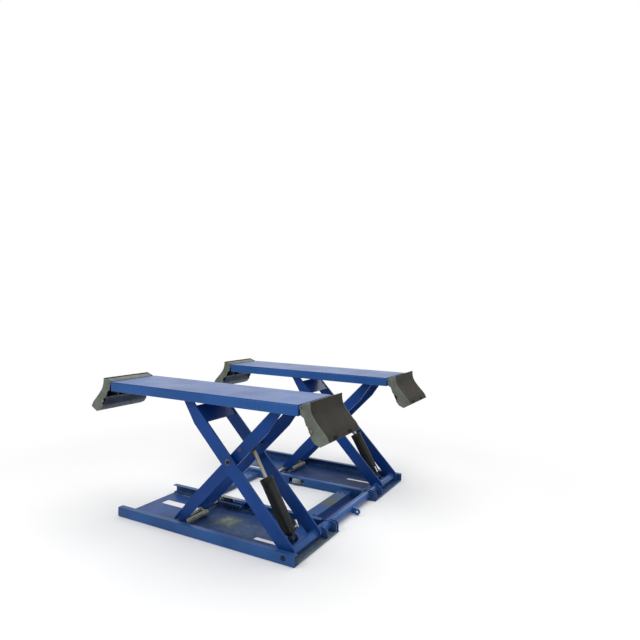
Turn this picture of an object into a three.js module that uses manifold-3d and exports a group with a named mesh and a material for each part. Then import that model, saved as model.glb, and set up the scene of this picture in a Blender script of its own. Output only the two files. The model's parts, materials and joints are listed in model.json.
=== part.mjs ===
import * as THREE from 'three';
import { mergeVertices } from 'three/addons/utils/BufferGeometryUtils.js';
import Module from 'manifold-3d';

const wasm = await Module();
wasm.setup();
const { Manifold, Mesh: SolidMesh } = wasm;

// All lengths in millimetres. X runs along the tracks, Y across the lift, Z up from the floor.

const fitGap = 0.3;            // between touching pieces
const cutOver = 2;             // how far a cutting tool passes its piece
const weldTolerance = 0.0001;
const roundSteps = 20;
const pinSteps = 14;
const bigRound = 18;             // radius from which circles get the finer step
const smallSteps = 8;
const arcSteps = 6;              // half circles in outlines
const cornerSteps = 2;
const hexSides = 6;
const heelSteps = 7;
const crownSteps = 8;

// whole lift
const overallWidth = 1770;
const restAngle = THREE.MathUtils.degToRad(46.9);     // leg angle when raised, as photographed
const baseLength = 1440;
const panWidth = 575;
const pivotInset = 76;         // main pivot from the fixed end of the pans
const pivotHeight = 39;
const lowerArm = 650;          // pivot to centre pin
const upperArm = 532;          // centre pin to platform pin

// tracks and pan plates
const trackHeight = 66;
const trackLip = 41;
const trackWall = 4.5;
const trackBend = 7;
const innerTrackStop = 120;    // inner track ends this far from the fixed end
const pivotHole = 17;
const wearBarWidth = 31;
const wearBarInset = 8;
const noseCut = 9;
const endLipHeight = 14;
const slotShort = { fromEnd: 70, length: 330, v: 332, width: 78 };
const slotLong = { fromEnd: 1017, length: 245, v: 184, width: 42 };
const slotCorner = 12;
const windowLow = 14;
const windowHigh = 58;
const windows = { near: { fromEnd: 500, length: 70 }, far: { fromEnd: 658, length: 142 } };

// platform and scissor planes, from the pans' outer faces
const platformInset = 8;
const platformWidth = 408;
const outerLegSpread = 162;    // outer face of each outer leg from the middle of the platform
const innerLegSpread = 123;

// legs
const plateThick = 12;
const outerLegWidth = 90;
const innerLegWidth = 80;
const lowPinInset = 32;        // pin to the lower edge at the floor end
const topPinInset = 24;        // pin to the upper edge at the platform end
const topTaper = 190;
const heelBack = 25;
const heelShare = 0.8;
const heelTopShare = 0.2;
const shoulderDrop = 12;
const shoulderLength = 250;
const crossPlateThick = 8;
const outerPlate = { at: 1008, length: 130, lift: 16 };

// torsion tube and main shaft
const tubeRadius = 31;
const journalRadius = 24;
const tubeBore = 19;
const shaftRadius = 16;
const shaftTail = 12;
const lugReach = 88;
const lugWidth = 44;
const lugThick = 14;
const lugHole = 9;
const lugAngle = THREE.MathUtils.degToRad(-12);

// bearings
const bearingPlate = { thick: 8, length: 112, height: 72, corner: 16 };
const bearingSpan = 35;        // outside to outside of the two upright plates
const sleeveWall = 3;
const blockLength = 68;

// axles and rollers
const lowAxleRadius = 15;
const topAxleRadius = 13;
const lowRoller = { radius: 21.5, width: 29, inset: 10 };
const topRoller = { radius: 22, width: 24, inset: 6 };
const rollerGroove = 1.6;
const axleInset = 7;

// centre pins and platform pins
const centrePin = 14;
const washerRadius = 21;
const washerThick = 3;
const headRadius = 13;
const headThick = 5;
const socketRadius = 7;
const bushWall = 8;
const earThick = 8;
const earGap = 2;
const earFoot = 48;            // half length of an ear where it meets the deck rails
const platformPin = 12;

// platform
const deckThick = 5;
const deckAbovePin = 33;
const railDepth = 66;
const railLip = 33;
const railWall = 4.5;
const stiffener = { width: 20, depth: 6 };
const leftOverhang = 1373.4;   // platform end beyond the platform pin, roller side
const rightOverhang = 160.6;

// ramps, sizes from the platform end and the deck top
const rampHinge = { out: 24, down: 15 };
const hingeTube = 8;
const hingePin = 5;
const rampPlate = 4;
const rampCheek = 5;
const rampFace = [[78, 22], [80, -13], [92, -50], [118, -86], [150, -121], [206, -172]];
const rampToe = [148, -223];
const rampHeel = [
  [109, -206], [86, -177], [95, -143], [55, -113], [39, -71], [20, -61], [10, -8], [18, 0], [40, 8],
];
const rampTop = [[40, 8], [62, 14]];
const ribShares = [0.26, 0.5, 0.74];
const ribHeelFrom = 3;         // the ribs leave out this many points of the heel
const armThick = 7;
const armReach = 9.5;
const bossSpot = [88, -142];
const bossRadius = 11;
const bossProud = 6;

// cylinders
const ramFoot = { x: -140, z: 60 };
const ramHead = { along: 100, above: 10 };            // from the centre pin, along and above the inner leg
const barrelRadius = 42;
const barrelWall = 4.5;
const barrelStart = 34;
const barrelEnd = 400;
const barrelCap = 14;
const collarLength = 30;
const collarProud = 1.5;
const glandBore = 36.5;
const rodRadius = 12;
const rodInside = 290;
const eyeWidth = 30;
const footEye = 20;
const headEye = 24;
const ramPin = 12;
const clevisThick = 8;
const clevisGap = 4;
const pipeRadius = 4;
const fittingRadius = 8;
const fittingLength = 18;
const pipeAngle = THREE.MathUtils.degToRad(40);   // below the side that faces the front

// cross ties
const tieWidth = 97;
const fixedTieInset = 300;     // from the fixed end
const rollerTieInset = 260;    // from the roller end
const tieTop = 42;
const tieDepth = 32;
const tieWall = 4;
const tabReach = 92;
const tabThick = 5;
const boltIn = 58;
const boltSpread = 52;
const boltRadius = 6;
const boltHead = 10;
const boltHeadThick = 7;

// safety lock
const rackSpan = [-935, -635];
const rackInset = 89;          // from the pan's inner face
const rackWidth = 20;
const rackPitch = 30;
const rackTop = 28;
const rackGullet = 15;
const pawlReach = 212;
const pawlDepth = 18;
const pawlHub = 22;
const pawlLift = 1.5;
const pawlTooth = 8;
const pawlSlope = 16;

const fullArm = lowerArm + upperArm;
const platformSpan = [platformInset, platformInset + platformWidth];
const ramPlane = platformInset + platformWidth / 2;
const legSeats = {
  outerNear: ramPlane - outerLegSpread, innerNear: ramPlane - innerLegSpread,
  innerFar: ramPlane + innerLegSpread - plateThick, outerFar: ramPlane + outerLegSpread - plateThick,
};
const lowRollerSeats = [lowRoller.inset, panWidth - lowRoller.inset - lowRoller.width];
const topRollerSeats = [platformSpan[0] + topRoller.inset, platformSpan[1] - topRoller.inset - topRoller.width];
const bearingSeats = [panWidth - bearingSpan, panWidth - bearingPlate.thick];
const rackSeat = panWidth - rackInset;
const tieSpots = [-fixedTieInset, rollerTieInset - baseLength];
const plateTop = trackWall;
const trackTop = pivotHeight - lowRoller.radius - fitGap;
const pivot = { x: -pivotInset, z: pivotHeight };
const legCos = Math.cos(restAngle);
const legSin = Math.sin(restAngle);
const centre = { x: pivot.x - lowerArm * legCos, z: pivot.z + lowerArm * legSin };
const foot = { x: centre.x - lowerArm * legCos, z: pivotHeight };
const slidePin = { x: centre.x - upperArm * legCos, z: centre.z + upperArm * legSin };
const fixedPin = { x: centre.x + upperArm * legCos, z: slidePin.z };
const deckTop = fixedPin.z + deckAbovePin;
const deckUnder = deckTop - deckThick;
const platformLeft = fixedPin.x - leftOverhang;
const platformRight = fixedPin.x + rightOverhang;
const ramTop = {
  x: centre.x + ramHead.along * legCos - ramHead.above * legSin,
  z: centre.z + ramHead.along * legSin + ramHead.above * legCos,
};
const ramAngle = Math.atan2(ramTop.z - ramFoot.z, ramTop.x - ramFoot.x);
const ramLength = Math.hypot(ramTop.x - ramFoot.x, ramTop.z - ramFoot.z);

// the frame stands on the floor with its outline box centred
const rampReach = Math.max(...rampFace.map(([out]) => out));
const centreX = (platformLeft - rampReach + platformRight + rampReach) / 2;
const centreY = shaftTail / 2;

const paint = (color, roughness, metalness) => new THREE.MeshStandardMaterial({ color, roughness, metalness });
const blue = () => paint(0x2b4c9b, 0.38, 0.25);
const black = () => paint(0x15161a, 0.35, 0.3);
const steel = () => paint(0x8d8f90, 0.42, 0.9);
const chrome = () => paint(0xd6d8da, 0.12, 1);
const zinc = () => paint(0x7f8580, 0.5, 0.75);
const wornSteel = () => paint(0x77736c, 0.5, 0.85);

function toSolid(geometry) {
  const bare = geometry.clone();
  bare.deleteAttribute('normal');
  bare.deleteAttribute('uv');
  const welded = mergeVertices(bare, weldTolerance);
  return new Manifold(new SolidMesh({
    numProp: 3,
    vertProperties: Float32Array.from(welded.attributes.position.array),
    triVerts: Uint32Array.from(welded.index.array),
  }));
}

function toGeometry(solid) {
  const mesh = solid.getMesh();
  const geometry = new THREE.BufferGeometry();
  geometry.setAttribute('position', new THREE.BufferAttribute(Float32Array.from(mesh.vertProperties), 3));
  geometry.setIndex(new THREE.BufferAttribute(Uint32Array.from(mesh.triVerts), 1));
  const flat = geometry.toNonIndexed();
  flat.computeVertexNormals();
  return flat;
}

const join = (list) => list.reduce((sum, piece) => sum.add(piece));
const cut = (body, tools) => tools.reduce((left, tool) => left.subtract(tool), body);

// the two halves mirror each other: v is measured inward from a pan's outer face
const halves = [{ name: 'near', sign: -1 }, { name: 'far', sign: 1 }];
const across = (half, v) => half.sign * (overallWidth / 2 - v);

function outline(points) {
  const shape = new THREE.Shape();
  points.forEach(([a, b], index) => (index ? shape.lineTo(a, b) : shape.moveTo(a, b)));
  shape.closePath();
  return shape;
}

function place(geometry, columns, offset) {
  const frame = new THREE.Matrix4().makeBasis(...columns.map((c) => new THREE.Vector3(...c)));
  geometry.applyMatrix4(frame);
  geometry.translate(...offset);
  return toSolid(geometry);
}

const extrude = (shape, depth, steps = arcSteps) => new THREE.ExtrudeGeometry(shape, {
  depth, bevelEnabled: false, curveSegments: steps,
});

// outline in X and Z, thickness along Y between two stations
function wallXZ(shape, y0, y1) {
  const low = Math.min(y0, y1);
  const high = Math.max(y0, y1);
  return place(extrude(shape, high - low), [[1, 0, 0], [0, 0, 1], [0, -1, 0]], [0, high, 0]);
}

// outline in X and Y, thickness up from z0
const plateXY = (shape, z0, thick) => place(
  extrude(shape, thick, cornerSteps), [[1, 0, 0], [0, 1, 0], [0, 0, 1]], [0, 0, z0],
);

// outline in Y and Z, length along X from x0
const barYZ = (shape, x0, length) => place(
  extrude(shape, length), [[0, 1, 0], [0, 0, 1], [1, 0, 0]], [x0, 0, 0],
);

function rectangle(a0, a1, b0, b1) {
  const [low, high] = a0 < a1 ? [a0, a1] : [a1, a0];
  return outline([[low, b0], [high, b0], [high, b1], [low, b1]]);
}

function softRectangle(a0, a1, b0, b1, radius) {
  const [low, high] = a0 < a1 ? [a0, a1] : [a1, a0];
  const [floor, top] = b0 < b1 ? [b0, b1] : [b1, b0];
  const shape = new THREE.Shape();
  shape.moveTo(low + radius, floor);
  shape.lineTo(high - radius, floor);
  shape.absarc(high - radius, floor + radius, radius, -Math.PI / 2, 0, false);
  shape.absarc(high - radius, top - radius, radius, 0, Math.PI / 2, false);
  shape.absarc(low + radius, top - radius, radius, Math.PI / 2, Math.PI, false);
  shape.absarc(low + radius, floor + radius, radius, Math.PI, Math.PI * 1.5, false);
  return shape;
}

// turned piece about the Y axis through spot, profile as [radius, y] pairs from either end
function turned(profile, spot, steps = roundSteps) {
  const geometry = new THREE.LatheGeometry(profile.map(([r, y]) => new THREE.Vector2(r, y)), steps);
  geometry.translate(spot.x, 0, spot.z);
  const solid = toSolid(geometry);
  return solid.volume() < 0 ? toSolid(flipped(geometry)) : solid;
}

function flipped(geometry) {
  const copy = geometry.index ? geometry.toNonIndexed() : geometry.clone();
  const spots = copy.attributes.position;
  for (let i = 0; i < spots.count; i += 3) {
    const a = [spots.getX(i), spots.getY(i), spots.getZ(i)];
    spots.setXYZ(i, spots.getX(i + 1), spots.getY(i + 1), spots.getZ(i + 1));
    spots.setXYZ(i + 1, ...a);
  }
  return copy;
}

const order = (y0, y1) => (y0 < y1 ? [y0, y1] : [y1, y0]);

function pinY(radius, y0, y1, spot, steps = radius > bigRound ? roundSteps : pinSteps) {
  const [low, high] = order(y0, y1);
  return turned([[0, low], [radius, low], [radius, high], [0, high]], spot, steps);
}

// a hole whose flats, not its corners, lie at the radius, so that a round pin can turn in it
function bore(radius, half, v0, v1, spot) {
  const steps = radius > bigRound ? roundSteps : pinSteps;
  return pinY(radius / Math.cos(Math.PI / steps), across(half, v0) + half.sign * cutOver,
    across(half, v1) - half.sign * cutOver, spot, steps);
}

const group = new THREE.Group();
group.name = 'portable_scissor_lift';

function addNode(name, solid, material) {
  const geometry = toGeometry(solid);
  geometry.translate(-centreX, -centreY, 0);
  const mesh = new THREE.Mesh(geometry, material);
  mesh.name = name;
  group.add(mesh);
}

// a channel section open toward larger v (turn = 1) or smaller v (turn = -1)
function channelShape(half, v, turn, height, lip, wall, bend, base = 0) {
  const at = (inward, up) => [across(half, v + turn * inward), base + up];
  const ring = [[lip, 0], [bend, 0]];
  const arc = (cx, cy, r, from, to) => Array.from({ length: cornerSteps + 1 }, (_, k) => {
    const angle = from + (to - from) * (k / cornerSteps);
    return [cx + r * Math.cos(angle), cy + r * Math.sin(angle)];
  });
  const quarter = Math.PI / 2;
  ring.pop();
  ring.push(...arc(bend, bend, bend, -quarter, -2 * quarter));
  ring.push(...arc(bend, height - bend, bend, 2 * quarter, quarter));
  ring.push([lip, height], [lip, height - wall], [wall, height - wall], [wall, wall], [lip, wall]);
  return outline(ring.map(([a, b]) => at(a, b)));
}

// a flat bar on the floor of a track, where the rollers run
function wearBar(half, v, stop) {
  const [y0, y1] = order(across(half, v), across(half, v + wearBarWidth));
  return barYZ(rectangle(y0, y1, trackWall / 2, trackTop), noseCut - baseLength, baseLength - stop - noseCut);
}

function buildPan(half) {
  const { name } = half;
  const y = (v) => across(half, v);
  const low = -baseLength;
  const nose = wallXZ(outline([
    [low - cutOver, -cutOver], [low + noseCut, -cutOver], [low - cutOver, noseCut],
  ]), y(-cutOver), y(panWidth + cutOver));

  // outer track, open inward, with the block that carries the end of the main shaft
  const block = wallXZ(rectangle(pivot.x - blockLength / 2, pivot.x + blockLength / 2, trackWall / 2,
    trackHeight - trackWall / 2), y(trackWall / 2), y(trackLip - fitGap));
  const outer = join([
    barYZ(channelShape(half, 0, 1, trackHeight, trackLip, trackWall, trackBend), low, baseLength), block,
    wearBar(half, wearBarInset, pivotInset + blockLength),
  ]);
  addNode(`${name}_outer_track`, cut(outer, [
    bore(pivotHole, half, 0, trackWall, pivot),
    bore(shaftRadius + fitGap, half, trackWall, trackLip, pivot), nose,
  ]), blue());

  const innerLength = baseLength - innerTrackStop;
  const view = windows[name];
  const inner = join([
    barYZ(channelShape(half, panWidth, -1, trackHeight, trackLip, trackWall, trackBend), low, innerLength),
    wearBar(half, panWidth - wearBarInset - wearBarWidth, innerTrackStop + noseCut), ...tieTabs(half),
  ]);
  addNode(`${name}_inner_track`, cut(inner, [
    wallXZ(rectangle(low + view.fromEnd, low + view.fromEnd + view.length, windowLow, windowHigh),
      y(panWidth - trackWall - cutOver), y(panWidth + cutOver)),
    nose, ...tieDrills(),
  ]), blue());

  const edge = trackLip + fitGap;
  const tab = -innerTrackStop + fitGap;
  const plate = plateXY(outline([
    [low, y(edge)], [0, y(edge)], [0, y(panWidth)], [tab, y(panWidth)], [tab, y(panWidth - edge)],
    [low, y(panWidth - edge)],
  ]), 0, plateTop);
  const lipEnd = wallXZ(rectangle(-trackWall, 0, plateTop / 2, endLipHeight), y(edge), y(panWidth - edge));
  const holes = [slotShort, slotLong].map(({ fromEnd, length, v, width }) => plateXY(softRectangle(
    low + fromEnd, low + fromEnd + length, y(v), y(v + width), slotCorner,
  ), -cutOver, plateTop + 2 * cutOver));
  addNode(`${name}_pan_plate`, cut(plate.add(lipEnd), [...holes, nose]), blue());

  // inner bearing: two upright plates and the sleeve between them
  const seatLow = plateTop + fitGap;
  const { corner, height, thick } = bearingPlate;
  const start = -bearingPlate.length;
  const stand = outline([
    [start, seatLow], [-fitGap - trackWall, seatLow], [-fitGap - trackWall, height - corner],
    [-corner - trackWall, height], [start + corner, height], [start, height - corner],
  ]);
  const [first, last] = bearingSeats;
  const bearing = join([
    ...bearingSeats.map((v) => wallXZ(stand, y(v), y(v + thick))),
    pinY(tubeRadius + sleeveWall, y(first), y(last + thick), pivot),
  ]);
  addNode(`${name}_tube_bearing`, cut(bearing, [
    bore(tubeRadius + fitGap, half, first, last + thick, pivot),
  ]), blue());

  buildClevis(half);
  buildLockBase(half);
}

function buildClevis(half) {
  const y = (v) => across(half, v);
  const reach = eyeWidth / 2 + clevisGap;
  const { x, z } = ramFoot;
  const seat = plateTop + fitGap;
  const ear = new THREE.Shape();
  ear.moveTo(x - headEye, seat);
  ear.lineTo(x + headEye, seat);
  ear.lineTo(x + headEye, z);
  ear.absarc(x, z, headEye, 0, Math.PI, false);
  ear.closePath();
  const outside = reach + clevisThick;
  const pieces = [-1, 1].map((turn) => wallXZ(ear, y(ramPlane + turn * reach), y(ramPlane + turn * outside)));
  pieces.push(wallXZ(rectangle(x - headEye, x + headEye, seat, seat + clevisThick), y(ramPlane - outside),
    y(ramPlane + outside)));
  addNode(`${half.name}_cylinder_clevis`, cut(join(pieces), [
    bore(ramPin + fitGap, half, ramPlane - outside, ramPlane + outside, ramFoot),
  ]), blue());
  addNode(`${half.name}_cylinder_lower_pin`, headedPin(
    half, ramPin, ramPlane - outside, ramPlane + outside, ramFoot,
  ), steel());
}

// a pin through everything between two stations, with a thin collar at each end
function headedPin(half, radius, v0, v1, spot) {
  const y = (v) => across(half, v);
  const collar = washerThick + fitGap;
  return join([
    pinY(radius, y(v0 - collar), y(v1 + collar), spot),
    pinY(radius + washerThick, y(v0 - collar), y(v0 - fitGap), spot),
    pinY(radius + washerThick, y(v1 + fitGap), y(v1 + collar), spot),
  ]);
}

function buildLockBase(half) {
  const y = (v) => across(half, v);
  const [from, to] = rackSpan;
  const points = [[from, plateTop + fitGap], [to, plateTop + fitGap]];
  const teeth = Math.floor((to - from) / rackPitch);
  for (let k = teeth - 1; k >= 0; k -= 1) {
    points.push([from + (k + 1) * rackPitch, rackTop], [from + k * rackPitch, rackGullet]);
  }
  points.splice(-1, 1, [from, rackGullet]);
  addNode(`${half.name}_lock_rack`, wallXZ(outline(points), y(rackSeat), y(rackSeat + rackWidth)), wornSteel());
}

const tieLevel = tieTop - tieWall - fitGap;

function tieBoltSpots(tie, sign) {
  const y = sign * (overallWidth / 2 - panWidth - boltIn);
  return [-1, 1].map((turn) => ({ x: tie + (tieWidth + turn * boltSpread) / 2, y }));
}

// flat tabs welded on a pan's inner track, under the ends of the cross ties
function tieTabs({ sign }) {
  const half = overallWidth / 2 - panWidth;
  return tieSpots.map((x) => plateXY(softRectangle(x + tieWall + fitGap, x + tieWidth - tieWall - fitGap,
    sign * (half + trackWall / 2), sign * (half - tabReach), tabThick), tieLevel - tabThick, tabThick));
}

function tieDrills() {
  return tieSpots.flatMap((tie) => [-1, 1].flatMap((sign) => tieBoltSpots(tie, sign).map(
    (spot) => upright(boltRadius + fitGap, tieTop - tieDepth, tieTop + cutOver, spot),
  )));
}

// the ties are inverted channels, each with the four bolts that hold it
function buildTies() {
  const half = overallWidth / 2 - panWidth;
  const names = ['fixed_end', 'roller_end'];
  tieSpots.forEach((tie, index) => {
    const [x0, x1] = [tie, tie + tieWidth];
    const foot = tieTop - tieDepth;
    const section = outline([
      [x0, foot], [x0 + tieWall, foot], [x0 + tieWall, tieTop - tieWall], [x1 - tieWall, tieTop - tieWall],
      [x1 - tieWall, foot], [x1, foot], [x1, tieTop], [x0, tieTop],
    ]);
    const parts = [wallXZ(section, -half + fitGap, half - fitGap)];
    const nut = tieLevel - tabThick - fitGap - boltHeadThick;
    [-1, 1].flatMap((sign) => tieBoltSpots(tie, sign)).forEach((spot) => parts.push(
      upright(boltRadius, nut, tieTop + boltHeadThick, spot), hexHead(tieTop - fitGap, spot),
      hexHead(nut, spot),
    ));
    addNode(`${names[index]}_cross_tie`, join(parts), blue());
  });
}

function upright(radius, z0, z1, spot, steps = smallSteps) {
  const geometry = new THREE.CylinderGeometry(radius, radius, z1 - z0, steps);
  geometry.rotateX(Math.PI / 2);
  geometry.translate(spot.x, spot.y, (z0 + z1) / 2);
  return toSolid(geometry);
}

const hexHead = (z0, spot) => upright(boltHead, z0, z0 + boltHeadThick, spot, hexSides);

// a leg in its own frame: s runs from the floor pin to the platform pin, n toward the upper edge
function legShape(origin, mirror, width, shoulder) {
  const at = (s, n) => [
    origin.x + mirror * (s * legCos - n * legSin), origin.z + s * legSin + n * legCos,
  ];
  const lowerAt = (s) => -lowPinInset - (width - lowPinInset - topPinInset) * (s / fullArm);
  const upperAt = (s) => lowerAt(s) + width;
  const points = [];
  const arc = (s, radius, from, to, steps) => {
    for (let k = 0; k <= steps; k += 1) {
      const angle = from + (to - from) * (k / steps);
      points.push(at(s + radius * Math.cos(angle), radius * Math.sin(angle)));
    }
  };
  arc(0, lowPinInset, -Math.PI / 2, -Math.PI, heelSteps);
  const heelTop = upperAt(0) - shoulder;
  points.push(at(-heelBack, upperAt(0) * heelShare - shoulder), at(-heelBack * heelTopShare, heelTop));
  if (shoulder) points.push(at(shoulderLength, upperAt(shoulderLength)));
  arc(fullArm, topPinInset, Math.PI / 2, -Math.PI / 2, crownSteps);
  points.push(at(fullArm - topTaper, lowerAt(fullArm - topTaper)));
  return { shape: outline(points), at };
}

function buildOuterLegs(half) {
  const { name } = half;
  const y = (v) => across(half, v);
  const { shape, at } = legShape(pivot, -1, outerLegWidth, 0);
  const stubEnds = { side: [topRollerSeats[0] - fitGap, legSeats.outerNear + plateThick],
    inboard: [legSeats.outerFar, topRollerSeats[1] + topRoller.width + fitGap] };
  const seats = { side: [legSeats.outerNear, shaftRadius], inboard: [legSeats.outerFar, journalRadius] };
  Object.entries(seats).forEach(([label, [v, shaft]]) => {
    const [a, b] = stubEnds[label];
    const leg = join([wallXZ(shape, y(v), y(v + plateThick)), pinY(topAxleRadius, y(a), y(b), slidePin)]);
    addNode(`${name}_outer_leg_${label}`, cut(leg, [
      bore(shaft + fitGap, half, v, v + plateThick, pivot),
      bore(centrePin + fitGap, half, v, v + plateThick, centre),
    ]), blue());
  });
  const { at: s, length, lift } = outerPlate;
  const cross = outline([
    at(s - length / 2, lift), at(s + length / 2, lift),
    at(s + length / 2, lift + crossPlateThick), at(s - length / 2, lift + crossPlateThick),
  ]);
  addNode(`${name}_outer_leg_cross_plate`, wallXZ(cross, y(legSeats.outerNear + plateThick + fitGap),
    y(legSeats.outerFar - fitGap)), blue());

  // centre pins: washer and socket head outside, spacer between the legs, washer and nut inside
  const ends = {
    side: [legSeats.outerNear, legSeats.innerNear, 1], inboard: [legSeats.outerFar, legSeats.innerFar, -1],
  };
  const clearPlate = plateThick + fitGap;
  Object.entries(ends).forEach(([label, [outerSeat, innerSeat, turn]]) => {
    const outside = turn > 0 ? outerSeat : outerSeat + plateThick;
    const inside = turn > 0 ? innerSeat + plateThick : innerSeat;
    const head = outside - turn * fitGap;
    const nut = inside + turn * fitGap;
    const headEnd = head - turn * (washerThick + headThick);
    const nutEnd = nut + turn * (washerThick + headThick);
    const body = join([
      pinY(centrePin, y(headEnd), y(nutEnd), centre),
      pinY(washerRadius, y(head), y(head - turn * washerThick), centre),
      pinY(headRadius, y(head), y(headEnd), centre),
      pinY(washerRadius, y(nut), y(nut + turn * washerThick), centre),
      pinY(headRadius, y(nut), y(nutEnd), centre, hexSides),
      pinY(centrePin + bushWall, y(outside + turn * clearPlate), y(inside - turn * clearPlate), centre),
    ]);
    const socket = pinY(socketRadius, y(headEnd + turn * (headThick / 2)), y(headEnd - turn * cutOver), centre,
      hexSides);
    addNode(`${name}_centre_pin_${label}`, cut(body, [socket]), black());
    const v = topRollerSeats[turn > 0 ? 0 : 1];
    addNode(`${name}_upper_roller_${label}`, roller(half, v, topAxleRadius, topRoller, slidePin), steel());
  });
}

function roller(half, v, axleRadius, { radius, width }, spot) {
  const [low, high] = order(across(half, v), across(half, v + width));
  const inner = axleRadius + fitGap;
  const chamfer = rollerGroove;
  return turned([
    [inner, low], [radius - chamfer, low], [radius, low + chamfer], [radius, high - chamfer],
    [radius - chamfer, high], [inner, high], [inner, low],
  ], spot);
}

// one stepped tube across both halves, turned down where it passes the inboard legs, with the towing lug
function buildShaft() {
  const end = overallWidth / 2;
  addNode('main_shaft', pinY(shaftRadius, -end + fitGap, end + shaftTail, pivot), steel());
  const outer = end - legSeats.outerNear - plateThick - fitGap;
  const seat = [end - legSeats.outerFar + fitGap, end - legSeats.outerFar - plateThick - fitGap];
  const side = lugWidth / 2;
  const dir = [Math.cos(lugAngle), Math.sin(lugAngle)];
  const tip = { x: pivot.x + (lugReach - side) * dir[0], z: pivot.z + (lugReach - side) * dir[1] };
  const shape = new THREE.Shape();
  shape.moveTo(pivot.x - side * dir[1], pivot.z + side * dir[0]);
  shape.lineTo(pivot.x + side * dir[1], pivot.z - side * dir[0]);
  shape.absarc(tip.x, tip.z, side, lugAngle - Math.PI / 2, lugAngle + Math.PI / 2, false);
  shape.closePath();
  const tube = join([
    pinY(journalRadius, -outer, outer, pivot), pinY(tubeRadius, -seat[1], seat[1], pivot),
    pinY(tubeRadius, -outer, -seat[0], pivot), pinY(tubeRadius, seat[0], outer, pivot),
    wallXZ(shape, -lugThick / 2, lugThick / 2),
  ]);
  addNode('torsion_tube', cut(tube, [
    pinY(tubeBore, -outer - cutOver, outer + cutOver, pivot), pinY(lugHole, -lugThick, lugThick, tip),
  ]), blue());
}

function buildInnerLegs(half) {
  const { name } = half;
  const y = (v) => across(half, v);
  const { shape } = legShape(foot, 1, innerLegWidth, shoulderDrop);
  const seats = { side: legSeats.innerNear, inboard: legSeats.innerFar };
  Object.entries(seats).forEach(([label, v]) => {
    const leg = cut(wallXZ(shape, y(v), y(v + plateThick)), [
      bore(lowAxleRadius + fitGap, half, v, v + plateThick, foot),
      bore(centrePin + fitGap, half, v, v + plateThick, centre),
      bore(ramPin + fitGap, half, v, v + plateThick, ramTop),
      bore(platformPin + fitGap, half, v, v + plateThick, fixedPin),
    ]);
    addNode(`${name}_inner_leg_${label}`, leg, blue());
  });
  addNode(`${name}_cylinder_upper_pin`, headedPin(
    half, ramPin, legSeats.innerNear, legSeats.innerFar + plateThick, ramTop,
  ), steel());
  addNode(`${name}_lower_axle`, pinY(lowAxleRadius, y(axleInset), y(panWidth - axleInset), foot), steel());
  ['side', 'inboard'].forEach((label, index) => addNode(`${name}_lower_roller_${label}`,
    roller(half, lowRollerSeats[index], lowAxleRadius, lowRoller, foot), steel()));
  buildPawl(half);
}

function buildPawl(half) {
  const y = (v) => across(half, v);
  const tipX = foot.x + pawlReach;
  const top = foot.z + pawlDepth / 2;
  const under = foot.z - pawlDepth / 2;
  const tipLow = rackTop + pawlLift;
  const body = join([
    pinY(pawlHub, y(rackSeat + fitGap), y(rackSeat + rackWidth - fitGap), foot),
    wallXZ(outline([
      [foot.x, under], [tipX - pawlSlope, under], [tipX - pawlTooth, tipLow], [tipX, tipLow],
      [tipX + pawlTooth, under], [tipX + pawlTooth, top - pawlTooth], [tipX, top], [foot.x, top],
    ]), y(rackSeat + fitGap), y(rackSeat + rackWidth - fitGap)),
  ]);
  addNode(`${half.name}_lock_pawl`, cut(body, [
    bore(lowAxleRadius + fitGap, half, rackSeat, rackSeat + rackWidth, foot),
  ]), wornSteel());
}

function buildPlatform(half) {
  const { name } = half;
  const y = (v) => across(half, v);
  const [v0, v1] = platformSpan;
  const railTop = deckUnder - fitGap;
  const railBase = deckTop - railDepth;
  const railHeight = railTop - railBase;
  const length = platformRight - platformLeft;

  addNode(`${name}_platform_deck`, plateXY(rectangle(platformLeft, platformRight,
    Math.min(y(v0), y(v1)), Math.max(y(v0), y(v1))), deckUnder, deckThick), blue());

  const rails = [[v0, 1], [v1, -1]].map(([v, turn]) => barYZ(
    channelShape(half, v, turn, railHeight, railLip, railWall, trackBend - railWall / 2, railBase),
    platformLeft, length,
  ));
  const ends = [platformLeft, platformRight - railWall].map((x) => wallXZ(
    rectangle(x, x + railWall, railBase, railTop), y(v0), y(v1),
  ));
  const arms = [];
  [[platformLeft, -1], [platformRight, 1]].forEach(([x, turn]) => {
    const hinge = rampHingeSpot(turn);
    [v0 + rampCheek + fitGap, v1 - rampCheek - fitGap - armThick].forEach((v) => {
      const arm = new THREE.Shape();
      arm.moveTo(x - turn * railWall / 2, hinge.z - armReach);
      arm.lineTo(hinge.x, hinge.z - armReach);
      arm.absarc(hinge.x, hinge.z, armReach, -Math.PI / 2, Math.PI / 2, turn < 0);
      arm.lineTo(x - turn * railWall / 2, hinge.z + armReach);
      arm.closePath();
      arms.push(wallXZ(arm, y(v), y(v + armThick)));
    });
    arms.push(pinY(hingePin, y(v0), y(v1), hinge, smallSteps));
  });
  // ears that carry the fixed platform pins, on cross bars between the two rails
  const ears = [];
  [legSeats.innerNear, legSeats.innerFar].forEach((seat) => {
    const spots = [seat - earGap - earThick, seat + plateThick + earGap];
    const r = topPinInset;
    const ear = new THREE.Shape();
    ear.moveTo(fixedPin.x - earFoot, railTop);
    ear.absarc(fixedPin.x, fixedPin.z, r, Math.PI, Math.PI * 2, false);
    ear.lineTo(fixedPin.x + earFoot, railTop);
    ear.closePath();
    spots.forEach((v) => ears.push(wallXZ(ear, y(v), y(v + earThick))));
    ears.push(pinY(platformPin, y(spots[0] - washerThick), y(spots[1] + earThick + washerThick), fixedPin));
  });
  ears.push(wallXZ(rectangle(fixedPin.x + topPinInset, fixedPin.x + topPinInset + stiffener.width,
    railTop - stiffener.depth, railTop), y(v0 + railWall / 2), y(v1 - railWall / 2)));
  addNode(`${name}_platform_frame`, join([...rails, ...ends, ...arms, ...ears]), blue());
  [-1, 1].forEach((turn) => buildRamp(half, turn));
}

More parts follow.
